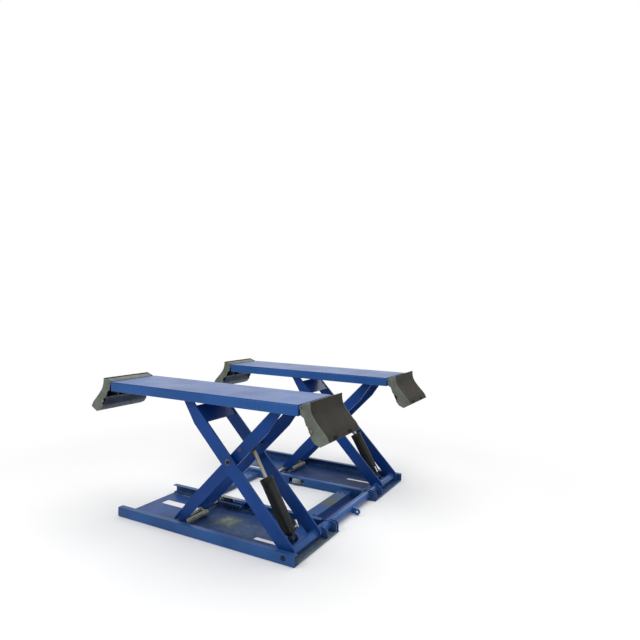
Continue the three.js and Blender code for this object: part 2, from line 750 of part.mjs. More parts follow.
function rampHingeSpot(turn) {
  const end = turn > 0 ? platformRight : platformLeft;
  return { x: end + turn * rampHinge.out, z: deckTop - rampHinge.down };
}

function buildRamp(half, turn) {
  const label = turn > 0 ? 'fixed_end' : 'roller_end';
  const y = (v) => across(half, v);
  const end = turn > 0 ? platformRight : platformLeft;
  const at = ([out, up]) => [end + turn * out, deckTop + up];
  const hinge = rampHingeSpot(turn);
  const [v0, v1] = platformSpan;

  const toward = (line, depth) => line.map(([a, b], i) => {
    const [pa, pb] = line[Math.max(i - 1, 0)];
    const [na, nb] = line[Math.min(i + 1, line.length - 1)];
    const size = Math.hypot(na - pa, nb - pb);
    return [a + ((nb - pb) / size) * depth, b - ((na - pa) / size) * depth];
  });
  const skin = [...rampTop, ...rampFace, rampToe];
  const sheet = outline([...skin, ...toward(skin, rampPlate).reverse()].map(at));
  const cheek = outline([...rampFace, rampToe, ...rampHeel].map(at));
  const [bossX, bossZ] = at(bossSpot);
  const sleeveInset = rampCheek + armThick + 2 * fitGap;
  const parts = [
    wallXZ(sheet, y(v0), y(v1)),
    wallXZ(cheek, y(v0), y(v0 + rampCheek)),
    wallXZ(cheek, y(v1 - rampCheek), y(v1)),
    pinY(bossRadius, y(v0 - bossProud / 2), y(v0 + rampCheek + bossProud), { x: bossX, z: bossZ }),
    pinY(hingeTube, y(v0 + sleeveInset), y(v1 - sleeveInset), hinge),
  ];
  ribShares.forEach((share) => {
    const v = v0 + (v1 - v0) * share;
    parts.push(wallXZ(outline([...rampFace, ...rampHeel.slice(ribHeelFrom)].map(at)), y(v), y(v + rampCheek)));
  });
  const drill = bore(hingePin + fitGap, half, v0, v1, hinge);
  addNode(`${half.name}_${label}_ramp`, cut(join(parts), [drill]), zinc());
}

// a turned piece about the cylinder's own axis, which runs from its foot pin to its head pin
function alongRam(half, profile, steps = roundSteps, offset = 0) {
  const geometry = new THREE.LatheGeometry(profile.map(([r, s]) => new THREE.Vector2(r, s)), steps);
  geometry.translate(-offset * Math.sin(pipeAngle), 0, offset * Math.cos(pipeAngle));
  const dir = [Math.cos(ramAngle), 0, Math.sin(ramAngle)];
  const up = [-dir[2], 0, dir[0]];
  const frame = new THREE.Matrix4().makeBasis(
    new THREE.Vector3(...up), new THREE.Vector3(...dir), new THREE.Vector3(0, 1, 0).multiplyScalar(-1),
  );
  geometry.applyMatrix4(frame);
  geometry.translate(ramFoot.x, across(half, ramPlane), ramFoot.z);
  const solid = toSolid(geometry);
  return solid.volume() < 0 ? toSolid(flipped(geometry)) : solid;
}

function buildCylinder(half) {
  const { name } = half;
  const y = (v) => across(half, v);
  const [v0, v1] = [ramPlane - eyeWidth / 2, ramPlane + eyeWidth / 2];
  const innerR = barrelRadius - barrelWall;
  const chamfer = collarProud;
  const shell = alongRam(half, [
    [0, barrelStart], [barrelRadius - chamfer, barrelStart], [barrelRadius, barrelStart + chamfer],
    [barrelRadius, barrelEnd - collarLength], [barrelRadius + collarProud, barrelEnd - collarLength + chamfer],
    [barrelRadius + collarProud, barrelEnd - chamfer], [barrelRadius, barrelEnd], [glandBore, barrelEnd],
    [glandBore, barrelEnd - collarLength], [innerR, barrelEnd - collarLength - chamfer],
    [innerR, barrelStart + barrelCap], [0, barrelStart + barrelCap],
  ]);
  const dir = [Math.cos(ramAngle), Math.sin(ramAngle)];
  const at = (s, n) => [ramFoot.x + s * dir[0] - n * dir[1], ramFoot.z + s * dir[1] + n * dir[0]];
  const neckEnd = barrelStart + barrelCap / 2;
  const neck = wallXZ(outline([
    at(0, -footEye), at(neckEnd, -footEye), at(neckEnd, footEye), at(0, footEye),
  ]), y(v0), y(v1));
  const clear = barrelRadius + fittingRadius - barrelWall / 2;
  const [low, high] = [barrelStart + barrelCap, barrelEnd - collarLength * 2];
  const sideways = (radius, s0, s1, steps) => alongRam(
    half, [[0, s0], [radius, s0], [radius, s1], [0, s1]], steps, clear,
  );
  const feed = [
    sideways(pipeRadius, low, high + fittingLength / 2, smallSteps),
    sideways(fittingRadius, low, low + fittingLength, hexSides),
    sideways(fittingRadius, high, high + fittingLength, hexSides),
  ];
  const barrel = cut(join([shell, neck, pinY(footEye, y(v0), y(v1), ramFoot), ...feed]), [
    bore(ramPin + fitGap, half, v0, v1, ramFoot),
  ]);
  addNode(`${name}_cylinder_barrel`, barrel, black());

  const rodStart = ramLength - rodInside;
  const rod = alongRam(half, [[0, rodStart], [rodRadius, rodStart], [rodRadius, ramLength - headEye / 2],
    [0, ramLength - headEye / 2]]);
  const head = cut(join([rod, pinY(headEye, y(v0), y(v1), ramTop)]), [
    bore(ramPin + fitGap, half, v0, v1, ramTop),
  ]);
  addNode(`${name}_cylinder_rod`, head, chrome());
}

halves.forEach((half) => {
  buildPan(half);
  buildOuterLegs(half);
  buildInnerLegs(half);
  buildCylinder(half);
  buildPlatform(half);
});
buildTies();
buildShaft();

export default group;
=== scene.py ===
import json
import math
import bpy
import bmesh
from mathutils import Matrix, Vector


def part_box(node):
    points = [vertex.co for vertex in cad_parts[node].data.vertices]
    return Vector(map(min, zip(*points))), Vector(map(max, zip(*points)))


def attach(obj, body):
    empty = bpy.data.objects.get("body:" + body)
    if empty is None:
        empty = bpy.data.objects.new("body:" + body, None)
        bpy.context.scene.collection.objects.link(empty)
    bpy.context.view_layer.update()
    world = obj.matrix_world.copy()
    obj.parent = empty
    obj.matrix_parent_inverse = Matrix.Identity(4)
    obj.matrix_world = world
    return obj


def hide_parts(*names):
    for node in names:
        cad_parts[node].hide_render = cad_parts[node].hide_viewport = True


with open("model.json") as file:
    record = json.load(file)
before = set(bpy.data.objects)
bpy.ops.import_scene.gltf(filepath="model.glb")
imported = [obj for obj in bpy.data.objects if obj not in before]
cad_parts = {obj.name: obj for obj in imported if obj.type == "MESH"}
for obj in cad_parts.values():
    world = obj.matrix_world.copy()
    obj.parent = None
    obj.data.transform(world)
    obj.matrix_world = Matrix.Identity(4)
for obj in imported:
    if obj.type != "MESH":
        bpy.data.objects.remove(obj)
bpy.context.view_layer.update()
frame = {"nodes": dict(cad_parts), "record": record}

# All lengths are in metres. +X points to the fixed end, -Y is the near side, +Z is up.

halfWidth = 0.885
# the main shaft sticks out at the far side, so the middle of the lift sits here
sideShift = -0.006
sides = {"near": -1, "far": 1}


def acrossAt(side, inward):
    return sides[side] * (halfWidth - inward) + sideShift


def middle(node):
    low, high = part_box(node)
    return (low + high) / 2


def frameOf(first, second, third, spot):
    return Matrix([*zip(first, second, third, spot), (0, 0, 0, 1)])


class Values:
    # a value is read as v.reach instead of by its key
    def __init__(self, table):
        for key, value in table.items():
            setattr(self, key, value)


def asRows(keys, rows, **usual):
    # names the values of each row; a short row takes the usual values for its last keys
    return {name: Values({**usual, **dict(zip(keys, row))}) for name, row in rows.items()}


pivot = middle("main_shaft")
centre = middle("near_centre_pin_side")
lowAxle = middle("near_lower_axle")
slidePin = middle("near_upper_roller_side")
ramFoot = middle("near_cylinder_lower_pin")
ramTop = middle("near_cylinder_upper_pin")
deckLow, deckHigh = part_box("near_platform_deck")

# ---- camera: same place and direction as the photograph's

cameraValues = {"place": (2.2966, -3.4381, 1.5018), "turn": 28.66, "tilt": -1.636, "roll": 0.985,
                "lens": 29.78, "sensor": 36, "farthest": 60}


def makeCamera():
    v = Values(cameraValues)
    turn, tilt, roll = (math.radians(angle) for angle in (v.turn, v.tilt, v.roll))
    ahead = Vector((-math.sin(turn) * math.cos(tilt), math.cos(turn) * math.cos(tilt), math.sin(tilt)))
    right = Vector((math.cos(turn), math.sin(turn), 0))
    up = right.cross(ahead)
    across = right * math.cos(roll) + up * math.sin(roll)
    above = up * math.cos(roll) - right * math.sin(roll)
    data = bpy.data.cameras.new("camera")
    data.sensor_width = v.sensor
    data.lens = v.lens
    data.clip_end = v.farthest
    camera = bpy.data.objects.new("camera", data)
    camera.matrix_world = frameOf(across, above, -ahead, v.place)
    bpy.context.scene.collection.objects.link(camera)
    bpy.context.scene.camera = camera


makeCamera()
print("camera placed")

# ---- small tools for the node trees


def linear(rgb):
    def one(value):
        value = value / 255
        return value / 12.92 if value <= 0.04045 else ((value + 0.055) / 1.055) ** 2.4
    return (*(one(value) for value in rgb), 1)


def newMaterial(name):
    material = bpy.data.materials.new(name)
    material.use_nodes = True
    tree = material.node_tree
    tree.nodes.clear()
    shader = tree.nodes.new("ShaderNodeBsdfPrincipled")
    output = tree.nodes.new("ShaderNodeOutputMaterial")
    tree.links.new(shader.outputs[0], output.inputs[0])
    return material, tree, shader


def feed(tree, node, inputs):
    for key, value in inputs.items():
        if isinstance(value, bpy.types.NodeSocket):
            tree.links.new(value, node.inputs[key])
        else:
            node.inputs[key].default_value = value


def put(tree, kind, inputs, **settings):
    node = tree.nodes.new(kind)
    for key, value in settings.items():
        setattr(node, key, value)
    feed(tree, node, inputs)
    return node


def place(tree, stretch=(1, 1, 1)):
    coordinate = put(tree, "ShaderNodeTexCoord", {}).outputs["Object"]
    if stretch == (1, 1, 1):
        return coordinate
    return put(tree, "ShaderNodeMapping", {"Vector": coordinate, "Scale": stretch}).outputs[0]


# soft grains; the levels are those between which a grain fades in
grains = asRows(("scale", "detail", "rough", "levels", "stretch"), {
    "blotch": (2.4, 4, 0.55, (0.35, 0.68)),
    "dirtCloud": (7.5, 7, 0.62, (0.46, 0.74)),
    "scratch": (120, 2, 0.5, (0.70, 0.76), (0.06, 1.0, 1.0)),
    "scratchArea": (5, 3, 0.55, (0.5, 0.62)),
    "chip": (60, 5, 0.7),
    "bareSteel": (30, 4, 0.55, (0.4, 0.7)),
    "paintGloss": (6, 4, 0.55, (0.3, 0.75)),
    "paintPeel": (260, 3, 0.55),
    "patchGaps": (16, 6, 0.65, (0.30, 0.55)),
    "patchGrain": (22, 6, 0.7, (0.35, 0.7)),
    "steel": (30, 4, 0.6, (0.3, 0.7)),
    "steelRust": (34, 7, 0.7, (0.5, 0.7)),
    "zincTone": (9, 6, 0.6, (0.34, 0.7)),
    "zincStreak": (26, 5, 0.6, (0.52, 0.74), (1, 1, 0.12)),
    "zincRust": (55, 7, 0.7, (0.60, 0.70)),
    "zincDents": (90, 5, 0.55),
    "plainTone": (18, 5, 0.55, (0.3, 0.7)),
    "plainDust": (40, 6, 0.55, (0.4, 0.8)),
    "plainGloss": (12, 4, 0.55, (0.3, 0.75)),
    "plainDents": (180, 3, 0.55),
    "floorTone": (0.6, 3, 0.55, (0.3, 0.7)),
    "patchEdge": (24, 5, 0.5),
}, stretch=(1, 1, 1))


def noise(tree, name, stretch=None, output=0):
    v = grains[name]
    return put(tree, "ShaderNodeTexNoise", {
        "Vector": place(tree, stretch or v.stretch), "Scale": v.scale, "Detail": v.detail,
        "Roughness": v.rough,
    }).outputs[output]


def band(tree, value, low, high, start=0.0, end=1.0):
    return put(tree, "ShaderNodeMapRange", {"Value": value, 1: low, 2: high, 3: start, 4: end},
               interpolation_type="SMOOTHSTEP").outputs[0]


def spots(tree, name, start=0.0, end=1.0):
    return band(tree, noise(tree, name), *grains[name].levels, start, end)


def math2(tree, how, a, b, clamp=False):
    return put(tree, "ShaderNodeMath", {0: a, 1: b}, operation=how, use_clamp=clamp).outputs[0]


def times(tree, a, b):
    return math2(tree, "MULTIPLY", a, b)


def vectorMath(tree, how, *inputs, output=0):
    return put(tree, "ShaderNodeVectorMath", dict(enumerate(inputs)), operation=how).outputs[output]


def part(tree, vector, axis):
    return put(tree, "ShaderNodeSeparateXYZ", {0: vector}).outputs[axis]


def mixColour(tree, factor, a, b):
    return put(tree, "ShaderNodeMix", {0: factor, 6: a, 7: b}, data_type="RGBA").outputs[2]


def bumpFrom(tree, height, strength, distance):
    inputs = {"Strength": strength, "Distance": distance, "Height": height}
    return put(tree, "ShaderNodeBump", inputs).outputs[0]


maskValues = {"edgeRadius": 0.003, "edgeSamples": 4, "edgeLevels": (0.86, 0.99), "upLevels": (0.5, 0.9),
              "patchFade": 0.01, "fadeShare": 0.5}


def edgeMask(tree):
    v = Values(maskValues)
    soft = put(tree, "ShaderNodeBevel", {"Radius": v.edgeRadius}, samples=v.edgeSamples).outputs[0]
    sharp = put(tree, "ShaderNodeNewGeometry", {}).outputs["Normal"]
    facing = vectorMath(tree, "DOT_PRODUCT", soft, sharp, output="Value")
    return band(tree, facing, *v.edgeLevels, 1.0, 0.0)


def upMask(tree):
    normal = put(tree, "ShaderNodeNewGeometry", {}).outputs["Normal"]
    return band(tree, part(tree, normal, 2), *maskValues["upLevels"])


def patchMask(tree, low, high, ragged):
    # a box with a soft and ragged edge
    v = Values(maskValues)
    shift = vectorMath(tree, "SUBTRACT", noise(tree, "patchEdge", output="Color"), (0.5, 0.5, 0.5))
    shift = vectorMath(tree, "MULTIPLY", shift, (ragged, ragged, 0))
    spot = vectorMath(tree, "ADD", place(tree), shift)
    mid = tuple((a + b) / 2 for a, b in zip(low, high))
    size = tuple((b - a) / 2 for a, b in zip(low, high))
    away = vectorMath(tree, "ABSOLUTE", vectorMath(tree, "SUBTRACT", spot, mid))
    away = vectorMath(tree, "SUBTRACT", away, size)
    far = part(tree, away, 0)
    for axis in (1, 2):
        far = math2(tree, "MAXIMUM", far, part(tree, away, axis))
    return band(tree, far, 0.0, max(v.patchFade, ragged * v.fadeShare), 1.0, 0.0)


def ownTone(tree, mask, values):
    return mixColour(tree, mask, linear(values.dark), linear(values.light))


def around(value, shifts):
    return [value + shift for shift in shifts]


# ---- materials

paintValues = asRows(("light", "dark", "chips", "dirt", "gloss", "shine", "peel", "scratch"), {
    "leg_paint": ((22, 60, 126), (17, 50, 108), 0.30, 0.08, 0.30),
    # the platform's blue is darkened a little as painted shade
    "platform_paint": ((40, 82, 144), (34, 72, 130), 0.28, 0.04, 0.28),
    "track_paint": ((44, 84, 140), (36, 70, 120), 0.28, 0.14, 0.30),
    "tube_paint": ((40, 80, 138), (34, 70, 124), 0.24, 0.06, 0.24, 0.30, 0.0, 0.08),
    "tie_paint": ((42, 78, 132), (32, 60, 102), 0.30, 0.26, 0.32),
    # the tray's dark navy is darkened as painted shade
    "tray_shaded_paint": ((26, 48, 98), (18, 36, 78), 0.26, 0.12, 0.34, 0.18),
    "pan_paint": ((42, 82, 150), (31, 62, 114), 0.28, 0.24, 0.34, 0.18),
    "lock_steel": ((52, 74, 112), (34, 50, 84), 0.34, 0.40, 0.40, 0.20),
}, shine=0.30, peel=0.18, scratch=0.28)
# worn or dirty places, and under the lift two darker places that are dirt and painted shade: low corner, high
# corner, colour, how strongly it shows, how ragged its edge is, and a last word where upright faces take it
# too
wornAndShadedPlaces = {
    "track_paint": [((-0.69, -0.9, 0.0166), (0.7, 0.9, 0.0178), (104, 116, 128), 0.60, 0.03),
                    ((-0.244, -0.36, 0.064), (-0.020, -0.31, 0.068), (168, 176, 170), 0.85, 0.03)],
    "tie_paint": [((0.463, -0.055, 0.0405), (0.560, 0.110, 0.0425), (98, 100, 82), 0.85, 0.02)],
    # the next two are darker navy under the middle of the lift: partly dirt, partly painted shade
    "pan_paint": [((-0.22, -0.82, -0.001), (0.48, -0.36, 0.006), (50, 66, 94), 0.66, 0.10),
                  ((-0.10, 0.36, -0.001), (0.55, 0.82, 0.006), (34, 50, 84), 0.70, 0.10),
                  ((0.08, -0.69, -0.001), (0.46, -0.56, 0.006), (96, 116, 142), 0.55, 0.10),
                  ((-0.03, -0.66, -0.001), (0.13, -0.50, 0.006), (92, 106, 110), 0.55, 0.09),
                  ((0.00, -0.615, -0.001), (0.075, -0.535, 0.006), (138, 146, 130), 0.85, 0.08),
                  ((0.712, -0.846, -0.001), (0.764, -0.345, 0.016), (104, 112, 106), 0.85, 0.04, "upright"),
                  ((0.712, 0.340, -0.001), (0.764, 0.850, 0.016), (70, 84, 96), 0.60, 0.04, "upright"),
                  ((-0.69, -0.362, -0.001), (-0.28, -0.30, 0.006), (150, 150, 132), 0.75, 0.03)],
}
# what all painted pieces share; rim is a painted highlight along the edges
wearAndHighlightTones = {"dirt": (88, 92, 94), "scratch": (110, 138, 180), "bare": (124, 134, 146),
             "bareDark": (76, 78, 84), "rim": (72, 120, 190), "tint": (150, 190, 255)}
wearAndHighlightValues = {"dirtHeight": (0.02, 0.32), "dirtAbove": 0.3, "chipFade": 0.06, "rim": 0.28, "metal": 0.6,
              "gloss": (-0.02, 0.06), "dirtRough": 0.5, "wornThin": 0.45, "wornDark": 0.78,
              "wornRough": 0.22, "peelGrain": 0.3, "chipDepth": -0.8, "bump": 0.0005}


def makePaint(name, values):
    v = Values(wearAndHighlightValues)
    tones = {key: linear(rgb) for key, rgb in wearAndHighlightTones.items()}
    material, tree, shader = newMaterial(name)
    tone = ownTone(tree, spots(tree, "blotch"), values)
    # dirt gathers low down and in soft clouds
    low = band(tree, part(tree, place(tree), 2), *v.dirtHeight, 1.0, v.dirtAbove)
    dirt = times(tree, times(tree, low, spots(tree, "dirtCloud")), values.dirt)
    tone = mixColour(tree, dirt, tone, tones["dirt"])
    # fine scratches run along the pieces
    scratch = times(tree, spots(tree, "scratch"), spots(tree, "scratchArea"))
    tone = mixColour(tree, times(tree, scratch, values.scratch), tone, tones["scratch"])
    # chipped edges show bare and slightly rusty steel
    edge = edgeMask(tree)
    start = 1.0 - values.chips
    chips = band(tree, times(tree, edge, noise(tree, "chip")), start, start + v.chipFade)
    bare = mixColour(tree, spots(tree, "bareSteel"), tones["bare"], tones["bareDark"])
    tone = mixColour(tree, chips, tone, bare)
    # painted highlight: a lighter blue along the rounded edges
    tone = mixColour(tree, times(tree, edge, v.rim), tone, tones["rim"])
    rough = spots(tree, "paintGloss", *around(values.gloss, v.gloss))
    rough = math2(tree, "ADD", rough, times(tree, dirt, v.dirtRough), True)
    for lowest, highest, colour, strength, ragged, *upright in wornAndShadedPlaces.get(name, []):
        mask = patchMask(tree, lowest, highest, ragged)
        mask = times(tree, times(tree, mask, 1.0 if upright else upMask(tree)), strength)
        mask = times(tree, mask, spots(tree, "patchGaps", v.wornThin, 1.0))
        darker = [int(value * v.wornDark) for value in colour]
        patchColour = mixColour(tree, spots(tree, "patchGrain"), linear(colour), linear(darker))
        tone = mixColour(tree, mask, tone, patchColour)
        rough = math2(tree, "ADD", rough, times(tree, mask, v.wornRough), True)
    peel = math2(tree, "ADD", times(tree, noise(tree, "paintPeel"), v.peelGrain),
                 times(tree, chips, v.chipDepth))
    feed(tree, shader, {
        "Base Color": tone, "Roughness": rough, "Metallic": times(tree, chips, v.metal),
        "Normal": bumpFrom(tree, peel, values.peel, v.bump),
        "Specular IOR Level": values.shine, "Specular Tint": tones["tint"],
    })
    return material


steelValues = asRows(("light", "dark", "rough", "grain", "rust"), {
    "roller_steel": ((164, 164, 162), (116, 114, 110), 0.34, (1, 90, 1), 0.10),
    "axle_steel": ((184, 184, 182), (128, 126, 120), 0.28, (1, 60, 1), 0.08),
    "pin_steel": ((84, 90, 104), (52, 56, 68), 0.42, (1, 60, 1), 0.08),
})
steelWear = {"rust": (112, 70, 46), "spread": (-0.06, 0.10), "rustRough": 0.4, "metal": 0.95,
             "bump": (0.12, 0.0004)}


def makeSteel(name, values):
    v = Values(steelWear)
    material, tree, shader = newMaterial(name)
    grain = noise(tree, "steel", values.grain)
    tone = ownTone(tree, grain, values)
    rust = times(tree, spots(tree, "steelRust"), values.rust)
    rough = band(tree, grain, *grains["steel"].levels, *around(values.rough, v.spread))
    feed(tree, shader, {
        "Base Color": mixColour(tree, rust, tone, linear(v.rust)),
        "Roughness": math2(tree, "ADD", rough, times(tree, rust, v.rustRough), True),
        "Metallic": math2(tree, "SUBTRACT", v.metal, rust),
        "Normal": bumpFrom(tree, grain, *v.bump),
    })
    return material


zincValues = asRows(("light", "dark", "stain", "rough", "shine", "metal"), {
    "ramp_sheet": ((40, 35, 29), (29, 25, 20), (23, 19, 15), 0.56, 0.10, 0.0),
    "ramp_zinc": ((102, 108, 100), (78, 84, 78), (70, 68, 58), 0.50, 0.35, 0.15),
    "ramp_back": ((66, 78, 98), (50, 60, 76), (40, 46, 58), 0.52, 0.22, 0.05),
})
# rim is a painted highlight along the edges, not wear
zincWearAndHighlight = {"cells": 70.0, "spangle": (0.05, (150, 152, 144)), "streak": 0.35, "rust": (0.40, (62, 52, 40)),
            "rim": (0.16, (150, 152, 142)), "spread": (-0.08, 0.10), "bump": (0.2, 0.0006)}


def makeZinc(name, values):
    v = Values(zincWearAndHighlight)
    material, tree, shader = newMaterial(name)
    cells = put(tree, "ShaderNodeTexVoronoi", {"Vector": place(tree), "Scale": v.cells}).outputs["Color"]
    spangle = put(tree, "ShaderNodeSeparateColor", {0: cells}).outputs[0]
    tone = ownTone(tree, spots(tree, "zincTone"), values)
    # spangle, stains and rust, then a painted highlight along the edges
    for mask, (strength, colour) in (
        (spangle, v.spangle), (spots(tree, "zincStreak"), (v.streak, values.stain)),
        (spots(tree, "zincRust"), v.rust), (edgeMask(tree), v.rim),
    ):
        tone = mixColour(tree, times(tree, mask, strength), tone, linear(colour))
    feed(tree, shader, {
        "Base Color": tone, "Metallic": values.metal, "Specular IOR Level": values.shine,
        "Roughness": band(tree, spangle, 0.0, 1.0, *around(values.rough, v.spread)),
        "Normal": bumpFrom(tree, noise(tree, "zincDents"), *v.bump),
    })
    return material


plainValues = asRows(("light", "dark", "rough", "metal", "bump", "dust"), {
    "barrel_black": ((25, 28, 29), (18, 21, 22), 0.42, 0.0),
    "pin_black": ((30, 31, 34), (18, 19, 22), 0.34, 0.0),
    "shaft_dark": ((34, 36, 42), (20, 22, 28), 0.38, 0.2),
    "washer_steel": ((96, 108, 124), (64, 74, 90), 0.34, 0.5),
    "rod_chrome": ((166, 164, 148), (160, 158, 142), 0.30, 0.85, 0.0),
    "bar_zinc": ((158, 160, 146), (116, 118, 106), 0.46, 0.2),
    "block_grey": ((158, 164, 168), (104, 110, 118), 0.44, 0.2),
    "fitting_zinc": ((186, 186, 180), (150, 150, 142), 0.28, 0.8),
    "rubber": ((36, 36, 36), (20, 20, 20), 0.72, 0.0),
    # near-black look for the plates behind the ramp slots: painted shade
    "slot_painted_shade": ((10, 10, 10), (6, 6, 6), 0.86, 0.0, 0.05, 0.0),
    "weld": ((38, 74, 134), (28, 56, 106), 0.34, 0.0),
    "rust_boss": ((152, 134, 104), (108, 88, 64), 0.50, 0.2),
}, bump=0.05, dust=0.12)
plainWear = {"dust": (110, 108, 100), "spread": (-0.02, 0.06), "bump": 0.0003, "bareFrom": 0.5,
             "coatedShine": 0.22, "bareShine": 0.5}


def makePlain(name, values):
    v = Values(plainWear)
    material, tree, shader = newMaterial(name)
    tone = ownTone(tree, spots(tree, "plainTone"), values)
    dust = times(tree, upMask(tree), spots(tree, "plainDust"))
    dust = times(tree, dust, values.dust * (1 - values.metal))
    feed(tree, shader, {
        "Base Color": mixColour(tree, dust, tone, linear(v.dust)), "Metallic": values.metal,
        "Roughness": spots(tree, "plainGloss", *around(values.rough, v.spread)),
        "Normal": bumpFrom(tree, noise(tree, "plainDents"), values.bump, v.bump),
        "Specular IOR Level": v.coatedShine if values.metal < v.bareFrom else v.bareShine,
    })
    return material


looks = {}
for make, table in ((makePaint, paintValues), (makeSteel, steelValues), (makePlain, plainValues),
                    (makeZinc, zincValues)):
    for key, values in table.items():
        looks[key] = make(key, values)
print("materials made")

# ---- finish of the carried-over solids: own material and slightly rounded edges

roundedEdge = {"width": 0.0011, "segments": 2, "angle": 35}


def roundEdges(solid, width):
    edge = solid.modifiers.new("edge", "BEVEL")
    edge.width = width
    edge.segments = roundedEdge["segments"]
    edge.limit_method = "ANGLE"
    edge.angle_limit = math.radians(roundedEdge["angle"])


slotOf = {entry["node"]: entry["material_slot"] for entry in frame["record"]["subparts"]}
for node, solid in frame["nodes"].items():
    solid.data.materials.clear()
    solid.data.materials.append(looks[slotOf[node]])
    roundEdges(solid, roundedEdge["width"])
print("solids finished")

# ---- tools that make pieces


def addPiece(name, mesh, body, look, smoothAngle=30, edge=0.0):
    solid = bpy.data.objects.new(name, mesh)
    bpy.context.scene.collection.objects.link(solid)
    mesh.materials.append(looks[look])
    if edge:
        roundEdges(solid, edge)
    for face in mesh.polygons:
        face.use_smooth = True
    mesh.set_sharp_from_angle(angle=math.radians(smoothAngle))
    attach(solid, body)
    return solid


def closedMesh(name, build):
    work = bmesh.new()
    build(work)
    bmesh.ops.recalc_face_normals(work, faces=work.faces)
    mesh = bpy.data.meshes.new(name)
    work.to_mesh(mesh)
    work.free()
    return mesh


def bridge(work, rings):
    # faces from ring to ring; a ring of one point makes a tip
    for ring, following in zip(rings, rings[1:]):
        for k in range(max(len(ring), len(following))):
            loop = [ring[k % len(ring)], ring[(k + 1) % len(ring)], following[(k + 1) % len(following)],
                    following[k % len(following)]]
            corners = list(dict.fromkeys(loop))
            if len(corners) > 2:
                work.faces.new(corners)


onAxis, samePoint, alongHelper, hexagon = 1e-7, 1e-6, 0.9, 6


def addTurned(name, profile, frameAt, steps, body, look, smoothAngle=30):
    # profile of (radius, along) pairs, closed or from axis to axis, turned about the third axis of frameAt
    turns = [2 * math.pi * k / steps for k in range(steps)]

    def build(work):
        rings = []
        for radius, along in profile:
            ring = [(0, 0, along)] if radius < onAxis else [
                (radius * math.cos(turn), radius * math.sin(turn), along) for turn in turns]
            rings.append([work.verts.new(frameAt @ Vector(spot)) for spot in ring])
        bridge(work, rings)
        bmesh.ops.remove_doubles(work, verts=work.verts, dist=samePoint)
    return addPiece(name, closedMesh(name, build), body, look, smoothAngle)


def alongY(spot):
    return frameOf((1, 0, 0), (0, 0, -1), (0, 1, 0), (spot.x, 0, spot.z))


def alongLine(start, end):
    ahead = (end - start).normalized()
    side = Vector((0, 1, 0)) if abs(ahead.y) < alongHelper else Vector((1, 0, 0))
    first = side.cross(ahead).normalized()
    return frameOf(first, ahead.cross(first), ahead, start)


def ringProfile(inner, outer, low, high, chamfer):
    return [(inner, low), (outer - chamfer, low), (outer, low + chamfer), (outer, high - chamfer),
            (outer - chamfer, high), (inner, high), (inner, low)]


def rodProfile(radius, low, high, chamfer):
    return ringProfile(0, radius, low, high, chamfer)[:-1]


def mirrored(half, mid, between=()):
    # a profile whose second half is the mirror image of its first
    return [*half, *between, *((radius, 2 * mid - along) for radius, along in half[::-1])]


def grow(work, faces, shift):
    # gives flat faces their thickness
    grown = bmesh.ops.extrude_face_region(work, geom=faces)["geom"]
    bmesh.ops.translate(work, vec=shift, verts=[g for g in grown if isinstance(g, bmesh.types.BMVert)])


def wallsXZ(name, walls):
    # each wall is an outline and the two places along Y between which it stands
    def build(work):
        for points, y0, y1 in walls:
            face = work.faces.new([work.verts.new((x, y0, z)) for x, z in points])
            grow(work, [face], (0, y1 - y0, 0))
    return closedMesh(name, build)


def addWall(name, points, y0, y1, body, look, edge):
    return addPiece(name, wallsXZ(name, [(points, y0, y1)]), body, look, edge=edge)


def addHoled(name, rim, hole, y0, y1, body, look, edge):
    # plate with one hole, between two places along Y
    def build(work):
        rings = [[work.verts.new((x, y0, z)) for x, z in ring] for ring in (rim, hole)]
        edges = [work.edges.new(pair) for ring in rings for pair in zip(ring, ring[1:] + ring[:1])]
        filled = bmesh.ops.triangle_fill(work, edges=edges, use_beauty=True)["geom"]
        grow(work, [f for f in filled if isinstance(f, bmesh.types.BMFace)], (0, y1 - y0, 0))
    return addPiece(name, closedMesh(name, build), body, look, edge=edge)


def arcXZ(spot, radius, start=0, end=360, steps=40, turn=0.0):
    # places along X and Z on an arc; start and end in degrees, the added turn in radians
    turns = [turn + math.radians(start + (end - start) * k / steps) for k in range(steps + 1)]
    return [(spot.x + radius * math.cos(t), spot.z + radius * math.sin(t)) for t in turns]


def pairs(*points):
    return [(p.x, p.z) for p in points]


def arcPoints(y, *arc, **more):
    return [(x, y, z) for x, z in arcXZ(*arc, **more)]


def curveThrough(points, steps=6):
    # smooth line through the points, as pairs
    out = []
    for i in range(len(points) - 1):
        before = points[max(i - 1, 0)]
        a, b = points[i], points[i + 1]
        after = points[min(i + 2, len(points) - 1)]
        for k in range(steps):
            t = k / steps
            out.append(tuple(0.5 * (2 * a[n] + (b[n] - before[n]) * t
                                    + (2 * before[n] - 5 * a[n] + 4 * b[n] - after[n]) * t ** 2
                                    + (3 * a[n] - before[n] - 3 * b[n] + after[n]) * t ** 3) for n in (0, 1)))
    out.append(tuple(points[-1]))
    return out


beadValues = {"radius": 0.0032, "pitch": 0.0042, "ripple": 0.22, "tip": 0.4, "around": 8, "smooth": 60}


